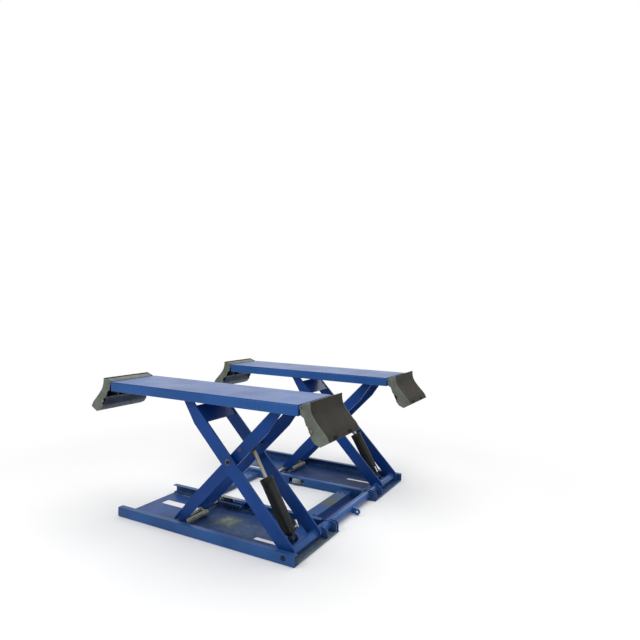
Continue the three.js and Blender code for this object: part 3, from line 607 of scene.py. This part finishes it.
def weldBead(name, points, body, look="weld"):
    # a rippled bead along a line of points
    v = Values(beadValues)
    stops = []
    for a, b in zip(points, points[1:]):
        a, b = Vector(a), Vector(b)
        count = max(2, int((b - a).length / v.pitch * 2))
        stops += [(a.lerp(b, k / count), (b - a).normalized()) for k in range(count)]
    stops.append((Vector(points[-1]), stops[-1][1]))
    turns = [2 * math.pi * k / v.around for k in range(v.around)]

    def build(work):
        rings = []
        for index, (spot, ahead) in enumerate(stops):
            side = Vector((0, 0, 1)) if abs(ahead.z) < alongHelper else Vector((1, 0, 0))
            first = ahead.cross(side).normalized()
            second = ahead.cross(first)
            swell = 1 + v.ripple * (1 if index % 2 else -1)
            radius = v.radius * swell * (v.tip if index in (0, len(stops) - 1) else 1)
            rings.append([work.verts.new(spot + first * radius * math.cos(t) + second * radius * math.sin(t))
                          for t in turns])
        bridge(work, rings)
        work.faces.new(rings[0][::-1])
        work.faces.new(rings[-1])
    return addPiece(name, closedMesh(name, build), body, look, v.smooth)


# ---- torsion tube and main shaft

tubeValues = {"radius": 0.031, "bore": 0.020, "journal": 0.024, "legInner": 0.0623, "legOuter": 0.3617,
              "journalEnd": 0.3743, "lugReach": 0.088, "lugWidth": 0.044, "lugThick": 0.014, "lugHole": 0.009,
              "lugTurn": -12, "lugFootShare": 0.8, "lugEdge": 0.0012, "lugWeld": 42, "weldProud": 0.001,
              "shaftRadius": 0.016, "shaftChamfer": 0.002, "steps": 64, "smooth": 40, "lugSteps": 18,
              "holeSteps": 24, "beadSteps": 20, "shaftSteps": 40}


def makeTube():
    v = Values(tubeValues)
    r, j, b = v.radius, v.journal, v.bore
    steps = [v.legInner, v.legOuter, v.journalEnd]
    e0, e1, e2 = (acrossAt("near", inward) for inward in steps)
    profile = mirrored([(b, e0), (r, e0), (r, e1), (j, e1), (j, e2), (r, e2)], sideShift) + [(b, e0)]
    tube = addTurned("tube", profile, alongY(pivot), v.steps, "outer_legs", "tube_paint", v.smooth)
    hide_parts("torsion_tube")

    # lug with a hole, welded to the middle of the tube
    turn = math.radians(v.lugTurn)
    half = v.lugWidth / 2
    reach = v.lugReach - half
    tip = Vector((pivot.x + reach * math.cos(turn), 0, pivot.z + reach * math.sin(turn)))
    start = r * v.lugFootShare
    foot = [(pivot.x + start * math.cos(turn) - half * math.sin(turn) * s,
             pivot.z + start * math.sin(turn) + half * math.cos(turn) * s) for s in (1, -1)]
    y0, y1 = sideShift - v.lugThick / 2, sideShift + v.lugThick / 2
    rim = arcXZ(tip, half, -90, 90, v.lugSteps, turn) + foot
    hole = arcXZ(tip, v.lugHole, steps=v.holeSteps)[:-1]
    addHoled("towing_lug", rim, hole, y0, y1, "outer_legs", "tube_paint", v.lugEdge)
    for index, y in enumerate((y0, y1)):
        bead = arcPoints(y, pivot, r, v.lugTurn - v.lugWeld, v.lugTurn + v.lugWeld, v.beadSteps)
        weldBead(f"lug_weld_{index}", bead, "outer_legs")
    for side in sides:
        for label, inward in zip("abc", steps):
            bead = arcPoints(acrossAt(side, inward), pivot, r + v.weldProud)
            weldBead(f"{side}_tube_weld_{label}", bead, "outer_legs")

    low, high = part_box("main_shaft")
    profile = rodProfile(v.shaftRadius, low.y, high.y, v.shaftChamfer)
    shaft = addTurned("shaft", profile, alongY(pivot), v.shaftSteps, "outer_legs", "shaft_dark")
    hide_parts("main_shaft")


makeTube()
print("tube and shaft made")

# ---- rollers, axles and pins

rollerValues = {"chamfer": 0.0016, "groove": 0.0008, "grooveAt": (4, 3), "lower": 0.0154, "upper": 0.0134,
                "steps": 56}
axleValues = {"groove": 0.0012, "grooveShares": (0.2, 0.35), "steps": 48}
headedValues = {"collar": 0.003, "chamfer": 0.0008, "steps": 40}


def makeRoller(node, body, bore, spot):
    v = Values(rollerValues)
    low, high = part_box(node)
    radius = (high.z - low.z) / 2
    c, g, start, mid = v.chamfer, v.groove, low.y, (low.y + high.y) / 2
    a, b = (radius - c * count for count in v.grooveAt)
    profile = mirrored([(bore, start), (a, start), (a, start + g), (b, start + g), (b, start),
                        (radius - c, start), (radius, start + c), (radius, mid - g)],
                       mid, [(radius - g, mid)]) + [(bore, start)]
    roller = addTurned(node + "_turned", profile, alongY(spot), v.steps, body, "roller_steel")
    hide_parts(node)


def makeAxle(side):
    low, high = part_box(side + "_lower_axle")
    v = Values(axleValues)
    radius = (high.z - low.z) / 2
    start, g = low.y, v.groove
    half = [(0, start), (radius - g, start), (radius, start + g)]
    for share in v.grooveShares:
        at = start + (high.y - start) * share
        half += [(radius, at - g), (radius - g, at), (radius, at + g)]
    profile = mirrored(half, (start + high.y) / 2)
    axle = addTurned(side + "_axle_turned", profile, alongY(lowAxle), v.steps, side + "_axle", "axle_steel")
    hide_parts(side + "_lower_axle")


def makeHeadedPin(node, body, spot):
    low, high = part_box(node)
    v = Values(headedValues)
    radius = (high.z - low.z) / 2
    start, collar, chamfer = low.y, v.collar, v.chamfer
    profile = mirrored([(0, start), (radius - chamfer, start), (radius, start + chamfer),
                        (radius, start + collar), (radius - collar, start + collar)], (start + high.y) / 2)
    pin = addTurned(node + "_turned", profile, alongY(spot), v.steps, body, "pin_steel")
    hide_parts(node)


for side in sides:
    for height, spot in (("lower", lowAxle), ("upper", slidePin)):
        for label in ("side", "inboard"):
            makeRoller(f"{side}_{height}_roller_{label}", f"{side}_{height}_{label}_roller",
                       rollerValues[height], spot)
    makeAxle(side)
    makeHeadedPin(side + "_cylinder_lower_pin", "base", ramFoot)
    makeHeadedPin(side + "_cylinder_upper_pin", side + "_inner_legs", ramTop)
print("rollers, axles and pins made")

# ---- centre pins: socket head, washer, spacer and nut

centreValues = {"pin": 0.014, "washer": 0.021, "washerThick": 0.003, "head": 0.013, "headThick": 0.005,
                "socket": 0.007, "spacer": 0.022, "legThick": 0.0126, "chamfer": 0.0008, "proud": 0.0003,
                "ringGap": 0.0004, "ringChamfer": 0.0007, "steps": 42}


def makeCentrePin(side, label):
    v = Values(centreValues)
    node = f"{side}_centre_pin_{label}"
    low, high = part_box(node)
    outward = sides[side] * (1 if label == "side" else -1)
    start = high.y if outward > 0 else low.y
    h, w, c, leg = v.headThick, v.washerThick, v.chamfer, v.legThick
    depth = high.y - low.y
    # radius and depth below the outer face of the head
    half = [(v.head - c, 0), (v.head, c), (v.head, h), (v.washer, h), (v.washer, h + w),
            (v.pin, h + w), (v.pin, h + w + leg), (v.spacer, h + w + leg)]
    steps = [(0, h / 2), (v.socket, h / 2), (v.socket, 0)] + mirrored(half, depth / 2) + [(0, depth)]
    profile = [(radius, start - outward * down) for radius, down in steps]
    pin = addTurned(node + "_turned", profile, alongY(centre), v.steps, "outer_legs", "pin_black")
    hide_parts(node)
    # plain steel washer under the head
    low, high = sorted(start - outward * down for down in (h - v.proud, h + w))
    ring = ringProfile(v.head + v.ringGap, v.washer + v.proud, low, high, v.ringChamfer)
    addTurned(node + "_washer", ring, alongY(centre), v.steps, "outer_legs", "washer_steel")


for side in sides:
    for label in ("side", "inboard"):
        makeCentrePin(side, label)
print("centre pins made")

# ---- hydraulic cylinders

ramValues = {"radius": 0.042, "wall": 0.0045, "start": 0.034, "end": 0.400, "collar": 0.030, "proud": 0.0015,
             "mouth": 0.0365, "bottom": 0.014, "bevel": 0.002,
             "footShape": [(-0.004, 0), (0, 0.004), (0, 0.012), (0.0012, 0.014), (0, 0.016)],
             "collarShape": [(0, -0.004), (0.001, -0.002), (-0.0005, 0), (0.0015, 0.001), (0.0015, 0.012),
                             (0.0005, 0.013), (0.0005, 0.016), (0.0015, 0.017)],
             "rod": 0.012, "rodInside": 0.290, "rodChamfer": 0.001, "eyeWidth": 0.030, "footEye": 0.020,
             "headEye": 0.024, "bore": 0.0124, "eyeEdge": 0.001, "neckIn": 0.004, "rodShare": 0.9,
             "neckShare": 1.02, "nut": 0.0175, "nutBore": 0.0115, "nutReach": 0.040, "nutShare": 0.95,
             "nutChamfer": 0.0015, "steps": 64, "smooth": 35, "eyeSteps": 18, "boreSteps": 32, "rodSteps": 40}
pipeValues = {"radius": 0.004, "turn": 40, "over": 0.009, "chamfer": 0.0005, "fitting": 0.008,
              "nut": (0, 0.018), "fittingChamfer": 0.001, "seatShare": 0.8, "seat": (0.004, 0.014),
              "steps": 20, "seatSteps": 24}
elbowValues = {"radius": 0.0052, "at": 0.056, "reach": 0.060, "lean": (0.62, 0.78), "nut": 0.008,
               "nutEnds": (-0.002, 0.010), "chamfer": 0.001,
               "steps": 24, "tail": [(0, -0.012), (1, -0.012), (1, 0.010), (1.5, 0.011), (1.5, 0.034),
                                     (1.2, 0.036), (0, 0.036)]}


def makeRam(side):
    v = Values(ramValues)
    y = middle(side + "_cylinder_lower_pin").y
    foot, top = Vector((ramFoot.x, y, ramFoot.z)), Vector((ramTop.x, y, ramTop.z))
    frameAt = alongLine(foot, top)
    length = (top - foot).length
    r, s, e, c, bevel = v.radius, v.start, v.end, v.collar, v.bevel
    inner, outer, bottom = r - v.wall, r + v.proud, s + v.bottom
    profile = [(0, s)] + [(r + out, s + up) for out, up in v.footShape]
    profile += [(r + out, e - c + up) for out, up in v.collarShape]
    profile += [(outer, e - bevel), (outer - bevel, e), (v.mouth, e), (v.mouth, e - c),
                (inner, e - c - bevel), (inner, bottom), (0, bottom)]
    barrel = addTurned(side + "_barrel_tube", profile, frameAt, v.steps, side + "_barrel", "barrel_black",
                       v.smooth)
    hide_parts(side + "_cylinder_barrel")
    ahead = (top - foot).normalized()
    up = Vector((-ahead.z, 0, ahead.x))

    def eye(name, spot, radius, neckTo, body, look):
        # flat eye with a bore and a neck toward the cylinder
        turn = math.atan2(neckTo.z - spot.z, neckTo.x - spot.x)
        beside = Vector((-math.sin(turn), 0, math.cos(turn))) * radius
        rim = arcXZ(spot, radius, 90, 270, v.eyeSteps, turn) + pairs(neckTo - beside, neckTo + beside)
        hole = arcXZ(spot, v.bore, steps=v.boreSteps)[:-1]
        half = v.eyeWidth / 2
        addHoled(f"{side}_{name}", rim, hole, y - half, y + half, body, look, v.eyeEdge)

    eye("barrel_eye", foot, v.footEye, foot + ahead * (s + v.neckIn), side + "_barrel", "barrel_black")
    head = v.headEye
    profile = rodProfile(v.rod, length - v.rodInside, length - head * v.rodShare, v.rodChamfer)
    rod = addTurned(side + "_rod_bar", profile, frameAt, v.rodSteps, side + "_rod", "rod_chrome")
    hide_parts(side + "_cylinder_rod")
    eye("rod_eye", top, head, top - ahead * (head * v.neckShare), side + "_rod", "pin_steel")
    profile = ringProfile(v.nutBore, v.nut, length - v.nutReach, length - head * v.nutShare,
                          v.nutChamfer)
    addTurned(side + "_rod_collar", profile, frameAt, hexagon, side + "_rod", "pin_steel")

    # feed pipe with two fittings on the side that faces the front
    p = Values(pipeValues)
    clear = r + p.fitting - v.wall / 2
    turn = math.radians(p.turn)
    shift = Vector((0, -1, 0)) * clear * math.cos(turn) - up * clear * math.sin(turn)
    pipeFrame = Matrix.Translation(shift) @ frameAt

    def addFitting(name, radius, start, stop, chamfer, steps):
        addTurned(f"{side}_{name}", rodProfile(radius, start, stop, chamfer), pipeFrame, steps,
                  side + "_barrel", "barrel_black")
    ends = {"low": bottom, "high": e - 2 * c}
    addFitting("feed_pipe", p.radius, ends["low"], ends["high"] + p.over, p.chamfer, p.steps)
    for label, start in ends.items():
        for name, share, span, steps in (("nut", 1, p.nut, hexagon),
                                         ("seat", p.seatShare, p.seat, p.seatSteps)):
            addFitting(f"pipe_{name}_{label}", p.fitting * share, *around(start, span),
                       p.fittingChamfer, steps)

    # bright hose elbow low on the inboard side
    w = Values(elbowValues)
    inboard = Vector((0, -sides[side], 0))
    outward = (inboard * w.lean[0] - up * w.lean[1]).normalized()
    root = foot + ahead * w.at
    bend = root + outward * w.reach
    stem, tail = alongLine(root, root + outward), alongLine(bend, bend + ahead)
    for name, profile, frameAt, steps in (
        ("nut", rodProfile(w.nut, *around(r, w.nutEnds), w.chamfer), stem, hexagon),
        ("stem", rodProfile(w.radius, r, w.reach + w.radius, w.chamfer), stem, w.steps),
        ("tail", [(w.radius * share, along) for share, along in w.tail], tail, w.steps),
    ):
        addTurned(f"{side}_elbow_{name}", profile, frameAt, steps, side + "_barrel", "fitting_zinc")


for side in sides:
    makeRam(side)
print("cylinders made")

# ---- end ramps: curved sheet between two cheeks, with ribs behind

rampValues = {
    "hinge": (0.024, -0.015), "tube": 0.008, "tubeBore": 0.0054, "tubeChamfer": 0.0005, "plate": 0.004,
    "thinShare": 0.75, "cheek": 0.005, "smooth": 35, "edge": 0.0006,
    "top": [(0.040, 0.008), (0.062, 0.014)],
    "face": [(0.078, 0.0206), (0.080, -0.013), (0.092, -0.050), (0.118, -0.086), (0.150, -0.121),
             (0.183, -0.156), (0.203, -0.192)],
    "toe": (0.148, -0.223),
    "heel": [(0.109, -0.206), (0.086, -0.177), (0.095, -0.143), (0.055, -0.113), (0.039, -0.071),
             (0.020, -0.061), (0.010, -0.008), (0.018, 0.0), (0.040, 0.008)],
    "steps": 6, "slotSteps": (2, 5), "slots": (0.22, 0.68), "slotHalf": 0.026, "catchBack": 0.0016,
    "toeCut": 0.42, "backIn": (0.45, 0.9), "cover": [(0.015, 0.0012), (0.040, 0.0088), (0.062, 0.0152)],
    "ribs": (0.26, 0.5, 0.74), "boss": (0.088, -0.142), "bossRadius": 0.011, "bossProud": 0.003,
    "bossDeep": 0.011, "bossChamfer": 0.0014, "weldProud": 0.0005, "arm": 0.007, "gap": 0.0003,
    "coverClear": 0.0012, "tubeSteps": 28, "bossSteps": 32, "beadSteps": 24,
}


def shifted(points, across, down):
    return [(x + across, z + down) for x, z in points]


def squareTo(a, b, length):
    # step of the given length, square to the line from a to b
    size = math.hypot(b[0] - a[0], b[1] - a[1])
    return (b[1] - a[1]) / size * length, -(b[0] - a[0]) / size * length


def makeRamp(side, label):
    v = Values(rampValues)
    turn = 1 if label == "fixed_end" else -1
    end = deckHigh.x if turn > 0 else deckLow.x
    body = f"{side}_{label}_ramp"
    low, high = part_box(side + "_platform_deck")
    y0, y1 = low.y, high.y
    t, plate, thin = v.cheek, v.plate, v.plate * v.thinShare
    inY0, inY1 = y0 + t, y1 - t

    def at(pair):
        return (end + turn * pair[0], deckHigh.z + pair[1])

    def centreAt(pair):
        x, z = at(pair)
        return Vector((x, 0, z))

    def wall(points, start, stop):
        return ([at(p) for p in points], start, stop)

    def addWalls(name, walls, look="ramp_zinc"):
        name = f"{body}_{name}"
        return addPiece(name, wallsXZ(name, walls), body, look, v.smooth, v.edge)
    skin = curveThrough(v.top + v.face, v.steps)
    inner = [shifted([spot], *squareTo(skin[max(i - 1, 0)], skin[min(i + 1, len(skin) - 1)], plate))[0]
             for i, spot in enumerate(skin)]
    # the pressed sheet has two slots just below its last bend
    shares = [share if turn > 0 else 1 - share for share in v.slots][::turn]
    cuts = [y0 + (y1 - y0) * share + k * v.slotHalf for share in shares for k in (-1, 1)]
    cuts = [inY0] + cuts + [inY1]
    strips, gaps = list(zip(cuts[::2], cuts[1::2])), list(zip(cuts[1:-1:2], cuts[2:-1:2]))
    bend = len(skin) - 1 - v.steps
    start, stop = (bend + n for n in v.slotSteps)
    upper = skin[:start + 1] + inner[start::-1]
    middleBand = skin[start:stop + 1] + inner[start:stop + 1][::-1]
    nose = skin[stop:] + inner[stop:][::-1]
    sheet = addWalls("sheet", [wall(upper, inY0, inY1), wall(nose, inY0, inY1)]
                     + [wall(middleBand, *strip) for strip in strips], "ramp_sheet")
    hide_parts(body)
    back = v.catchBack
    # near-black plates just behind the slots: painted shade seen through them
    addWalls("shade_plates", [wall(shifted(middleBand, -back, -back / 2), *gap) for gap in gaps], "slot_painted_shade")
    # folded lip along the lower edge
    a, b = v.face[-1], v.toe
    addWalls("lip", [wall([a, b] + shifted([b, a], *squareTo(a, b, plate)), inY0, inY1)], "ramp_sheet")
    # folded sheet that closes the back, notched along the toe, and a light cover over the hinge
    notch = tuple(v.toe[n] + (v.heel[0][n] - v.toe[n]) * v.toeCut for n in (0, 1))
    fold = [v.toe, notch] + v.heel[:4]
    inside = shifted(fold, *(share * thin for share in v.backIn))
    toe = fold[:2] + inside[1::-1]
    addWalls("back", [wall(fold[1:] + inside[:0:-1], inY0, inY1)] + [wall(toe, *strip) for strip in strips],
             "ramp_back")
    # near-black plates just behind the toe notches: painted shade seen through them
    addWalls("toe_shade_plates", [wall(shifted(toe, back / 2, back), *gap) for gap in gaps], "slot_painted_shade")
    inset = t + v.arm + 2 * v.gap
    cover = v.cover + shifted(v.cover[::-1], 0, -thin)
    addWalls("cover", [wall(cover, y0 + inset + v.coverClear, y1 - inset - v.coverClear)])
    edge = curveThrough(v.face, v.steps)
    for name, start in (("cheek_a", y0), ("cheek_b", inY1)):
        addWalls(name, [wall(edge + [v.toe] + v.heel, start, start + t)])
    for index, share in enumerate(v.ribs):
        start = y0 + (y1 - y0) * share
        addWalls(f"rib_{index}", [wall(inner[2 * v.steps:bend] + v.heel[3:], start, start + t)])
    profile = ringProfile(v.tubeBore, v.tube, y0 + inset, y1 - inset, v.tubeChamfer)
    addTurned(body + "_hinge_tube", profile, alongY(centreAt(v.hinge)), v.tubeSteps, body, "ramp_zinc")
    front, out = (y0, -1) if side == "near" else (y1, 1)
    reach = sorted((front + out * v.bossProud, front - out * v.bossDeep))
    boss, radius = centreAt(v.boss), v.bossRadius
    profile = rodProfile(radius, *reach, v.bossChamfer)
    addTurned(body + "_boss", profile, alongY(boss), v.bossSteps, body, "rust_boss")
    bead = arcPoints(front, boss, radius + v.weldProud, steps=v.beadSteps)
    weldBead(body + "_boss_weld", bead, body, "ramp_zinc")
    for name, start in (("a", inY0), ("b", inY1)):
        path = [(at(p)[0], start, at(p)[1]) for p in inner[2 * v.steps:-1:3]]
        weldBead(f"{body}_sheet_weld_{name}", path, body, "ramp_zinc")


for side in sides:
    for label in ("fixed_end", "roller_end"):
        makeRamp(side, label)
print("ramps made")

# ---- welds on legs and base

trimValues = {"plateHalf": 0.064, "plateUnder": 0.0045, "beadAt": 0.0052, "rackBeads": 4, "rackShare": 0.3,
              "rackBead": 0.03, "seamStart": -0.62, "seamPitch": 0.15, "seamLength": 0.05, "seamAt": 0.0046,
              "seamInward": {"outer": 0.0412, "inner": 0.5338}, "seams": 9}


def makeTrim(side):
    v = Values(trimValues)

    def bead(name, x0, x1, y, z=v.beadAt):
        weldBead(f"{side}_{name}", [(x0, y, z), (x1, y, z)], "base")
    low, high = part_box(side + "_outer_leg_cross_plate")
    along = slidePin - pivot
    along = Vector((along.x, 0, along.z)).normalized()
    above = Vector((along.z, 0, -along.x))
    for label, inward in (("side", tubeValues["legInner"]), ("inboard", tubeValues["legOuter"])):
        mid = Vector(((low.x + high.x) / 2, acrossAt(side, inward), (low.z + high.z) / 2))
        ends = [mid + along * v.plateHalf * k - above * v.plateUnder for k in (-1, 1)]
        weldBead(f"{side}_cross_weld_{label}", ends, "outer_legs")
    # beads along the feet of the clevis, the bearing and the rack
    for node in ("cylinder_clevis", "tube_bearing"):
        low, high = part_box(f"{side}_{node}")
        for name, y in (("a", low.y), ("b", high.y)):
            bead(f"{node}_weld_{name}", low.x, high.x, y)
    low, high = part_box(side + "_lock_rack")
    for name, y in (("a", low.y), ("b", high.y)):
        for k in range(v.rackBeads):
            x = low.x + (high.x - low.x) * (k + v.rackShare) / v.rackBeads
            bead(f"rack_weld_{name}{k}", x, x + v.rackBead, y)
    # stitched beads where the pan plate meets its tracks
    for name, inward in v.seamInward.items():
        for k in range(v.seams):
            x = v.seamStart + k * v.seamPitch
            bead(f"{name}_seam_{k}", x, x + v.seamLength, acrossAt(side, inward), v.seamAt)


for side in sides:
    makeTrim(side)
print("welds made")

# ---- lock bar in front of the axle, held by two arms that sit on it

lockValues = {"ahead": 0.050, "lift": -0.006, "radius": 0.0168, "wall": 0.003, "chamfer": 0.001, "arm": 0.006,
              "armHalf": 0.012, "armRound": 0.019, "armIn": 0.012, "tipShare": 0.7, "armEdge": 0.0008,
              "ends": (0.1035, 0.3205), "steps": 48, "armSteps": 12}


def makeLockBar(side):
    v = Values(lockValues)
    spot = Vector((lowAxle.x + v.ahead, 0, lowAxle.z + v.lift))
    y0, y1 = sorted(acrossAt(side, inward) for inward in v.ends)
    r = v.radius
    addTurned(side + "_lock_bar", ringProfile(r - v.wall, r, y0, y1, v.chamfer), alongY(spot), v.steps,
              side + "_axle", "bar_zinc")
    line = spot - lowAxle
    turn = math.atan2(line.z, line.x)
    beside = Vector((math.sin(turn), 0, -math.cos(turn))) * v.armHalf
    tip = spot - line.normalized() * (r * v.tipShare)
    rim = arcXZ(lowAxle, v.armRound, 90, 270, v.armSteps, turn) + pairs(tip + beside, tip - beside)
    for label, inward in (("a", v.ends[0] + v.armIn), ("b", v.ends[1] - v.armIn)):
        y = acrossAt(side, inward)
        addWall(f"{side}_lock_arm_{label}", rim, y - v.arm / 2, y + v.arm / 2, side + "_axle",
                "bar_zinc", v.armEdge)


for side in sides:
    makeLockBar(side)
print("lock bars made")

# ---- low tray between the tie and the tube at the fixed end

trayValues = {"gap": 0.0004, "reach": 0.090, "sheet": 0.0035, "lip": 0.014, "edge": 0.0006, "weldIn": 0.03}


def makeTray():
    v = Values(trayValues)
    low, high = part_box("fixed_end_cross_tie")
    x0 = high.x + v.gap
    x1, z0, z1, t = x0 + v.reach, low.z, low.z + v.lip, v.sheet
    section = [(x0, z0), (x1, z0), (x1, z1), (x1 - t, z1), (x1 - t, z0 + t), (x0, z0 + t)]
    # painted shade: the tray's paint is darkened to read as shadowed
    addWall("tie_tray", section, low.y, high.y, "base", "tray_shaded_paint", v.edge)
    weldBead("tray_weld", [(x0, low.y + v.weldIn, z0 + t), (x0, high.y - v.weldIn, z0 + t)], "base")


makeTray()
print("tray made")

# ---- gusset in front of the tube on each side

gussetValues = {"inward": 0.426, "thick": 0.008, "foot": 0.0048, "clear": 0.0345, "arc": (72, -68, 14),
                "rim": [(0.757, 0.054), (0.744, 0.069), (0.714, 0.0745)], "edge": 0.0008, "weldIn": 0.004,
                "weldUp": 0.0006}


def makeGusset(side):
    v = Values(gussetValues)
    arc = arcXZ(pivot, v.clear, *v.arc)
    start, stop = arc[-1][0], v.rim[0][0]
    outline = [(stop, v.foot)] + v.rim + arc + [(start, v.foot)]
    y = acrossAt(side, v.inward)
    y0, y1 = y - v.thick / 2, y + v.thick / 2
    addWall(side + "_gusset", outline, y0, y1, "base", "track_paint", v.edge)
    for label, face in (("a", y0), ("b", y1)):
        bead = [(x, face, v.foot + v.weldUp) for x in (start + v.weldIn, stop - v.weldIn)]
        weldBead(f"{side}_gusset_weld_{label}", bead, "base")


for side in sides:
    makeGusset(side)
print("gussets made")

# ---- ribbed block behind the window and bracket beside the inner track, on each side

blockValues = {
    "near": {"x": (-0.170, -0.114), "look": "rubber", "inward": 0.556},
    "far": {"x": (0.022, 0.094), "look": "block_grey", "inward": 0.5745},
    "z": 0.0362, "radius": 0.0208, "groove": 0.0048, "ribs": 4, "steps": 32,
    # a rib's outline: height above the groove's ground and place along the rib, as shares
    "ribShares": [(0, 0), (1, 0.15), (1, 0.75), (0, 0.9)],
}
bracketValues = {"x": (-0.078, 0.028), "foot": 0.0047, "height": 0.057, "inward": (0.5125, 0.5335),
                 "sheet": 0.005, "foldShare": 1.4, "edge": 0.001, "bolt": 0.0065, "boltLength": 0.0055,
                 "boltOut": 0.0034, "boltChamfer": 0.001, "boltShares": (0.25, 0.75), "boltHeightShare": 0.55,
                 "weldUp": 0.0005}


def makeBlock(side):
    v, own = Values(blockValues), blockValues[side]
    x0, x1 = own["x"]
    pitch = (x1 - x0) / v.ribs
    ground = v.radius - v.groove
    profile = [(0, 0)] + [(ground + v.groove * up, (k + along) * pitch)
                          for k in range(v.ribs) for up, along in v.ribShares]
    profile += [(ground, x1 - x0), (0, x1 - x0)]
    start = Vector((x0, acrossAt(side, own["inward"]), v.z))
    addTurned(side + "_ribbed_block", profile, alongLine(start, start + Vector((1, 0, 0))), v.steps,
              "base", own["look"])


def makeBracket(side):
    # upright folded sheet with a short top and two bolts
    v = Values(bracketValues)
    x0, x1 = v.x
    foot, top, t = v.foot, v.foot + v.height, v.sheet
    y0, y1 = (acrossAt(side, inward) for inward in v.inward)
    turn = 1 if y1 > y0 else -1
    fold = v.foldShare * t
    section = [(y0, foot), (y0, top - t), (y0 + turn * t, top), (y1, top), (y1, top - t),
               (y0 + turn * fold, top - t), (y0 + turn * t, top - fold), (y0 + turn * t, foot)]

    def build(work):
        grow(work, [work.faces.new([work.verts.new((x0, y, z)) for y, z in section])], (x1 - x0, 0, 0))
    addPiece(side + "_bracket", closedMesh("bracket", build), "base", "leg_paint", edge=v.edge)
    bolt = rodProfile(v.bolt, 0, v.boltLength, v.boltChamfer)
    height = foot + v.height * v.boltHeightShare
    for index, share in enumerate(v.boltShares):
        spot = Vector((x0 + (x1 - x0) * share, y0 - turn * v.boltOut, height))
        addTurned(f"{side}_bracket_bolt_{index}", bolt, alongLine(spot, spot + Vector((0, turn, 0))),
                  hexagon, "base", "washer_steel")
    weldBead(side + "_bracket_weld", [(x, y0, foot + v.weldUp) for x in (x0, x1)], "base")


for side in sides:
    makeBlock(side)
    makeBracket(side)
print("blocks and brackets made")

# ---- floor, backdrop and light

stageValues = {"size": 30, "below": -0.0006, "floor": 0.90, "floorDark": 0.985, "rough": 0.9,
               "fade": (1.4, 3.2), "world": 0.60}
lampValues = {
    "key": {"place": (-1.5, -4.2, 3.6), "aim": (0, -0.4, 0.4), "size": (2.6, 2.0), "power": 80},
    "fill": {"place": (4.4, -1.2, 2.2), "aim": (0.2, 0, 0.4), "size": (2.4, 1.8), "power": 34},
    "top": {"place": (0.2, 0.2, 4.2), "aim": (0.2, 0.2, 0), "size": (5.0, 4.0), "power": 90},
    "rim": {"place": (0.9, 4.6, 2.9), "aim": (0.6, 0.1, 0.1), "size": (2.6, 0.8), "power": 22},
}
white = (1, 1, 1, 1)


def seenDirectly(tree):
    # the white backdrop, for the camera and in mirrors and glass
    path = put(tree, "ShaderNodeLightPath", {}).outputs
    either = math2(tree, "MAXIMUM", path["Is Camera Ray"], path["Is Glossy Ray"])
    return math2(tree, "MAXIMUM", either, path["Is Transmission Ray"])


def makeLamp(name, values):
    data = bpy.data.lights.new(name, "AREA")
    data.shape = "RECTANGLE"
    data.size, data.size_y = values["size"]
    data.energy = values["power"]
    lamp = bpy.data.objects.new(name, data)
    lamp.location = values["place"]
    aim = Vector(values["aim"]) - Vector(values["place"])
    lamp.rotation_euler = aim.to_track_quat("-Z", "Y").to_euler()
    bpy.context.scene.collection.objects.link(lamp)


def makeStage():
    v = Values(stageValues)

    def build(work):
        bmesh.ops.create_grid(work, x_segments=1, y_segments=1, size=v.size)
    floor = bpy.data.objects.new("floor", closedMesh("floor", build))
    floor.location.z = v.below
    bpy.context.scene.collection.objects.link(floor)
    material, tree, shader = newMaterial("floor")
    light, dark = ((shade, shade, shade, 1) for shade in (v.floor, v.floor * v.floorDark))
    feed(tree, shader, {"Base Color": mixColour(tree, spots(tree, "floorTone"), light, dark),
                        "Roughness": v.rough})
    # the floor fades into the white backdrop away from the lift
    glow = put(tree, "ShaderNodeEmission", {"Color": white, "Strength": 1.0}).outputs[0]
    fade = band(tree, vectorMath(tree, "LENGTH", place(tree), output="Value"), *v.fade)
    mix = put(tree, "ShaderNodeMixShader", {
        0: times(tree, fade, seenDirectly(tree)), 1: shader.outputs[0], 2: glow,
    })
    output = next(n for n in tree.nodes if n.type == "OUTPUT_MATERIAL")
    tree.links.new(mix.outputs[0], output.inputs[0])
    floor.data.materials.append(material)

    world = bpy.data.worlds.new("world")
    bpy.context.scene.world = world
    world.use_nodes = True
    tree = world.node_tree
    tree.nodes.clear()
    soft, bright = (put(tree, "ShaderNodeBackground", {"Color": white, "Strength": strength}).outputs[0]
                    for strength in (v.world, 1.0))
    mix = put(tree, "ShaderNodeMixShader", {0: seenDirectly(tree), 1: soft, 2: bright})
    put(tree, "ShaderNodeOutputWorld", {0: mix.outputs[0]})
    for name, values in lampValues.items():
        makeLamp(name, values)
    bpy.context.scene.view_settings.view_transform = "Standard"


makeStage()
print("stage made")
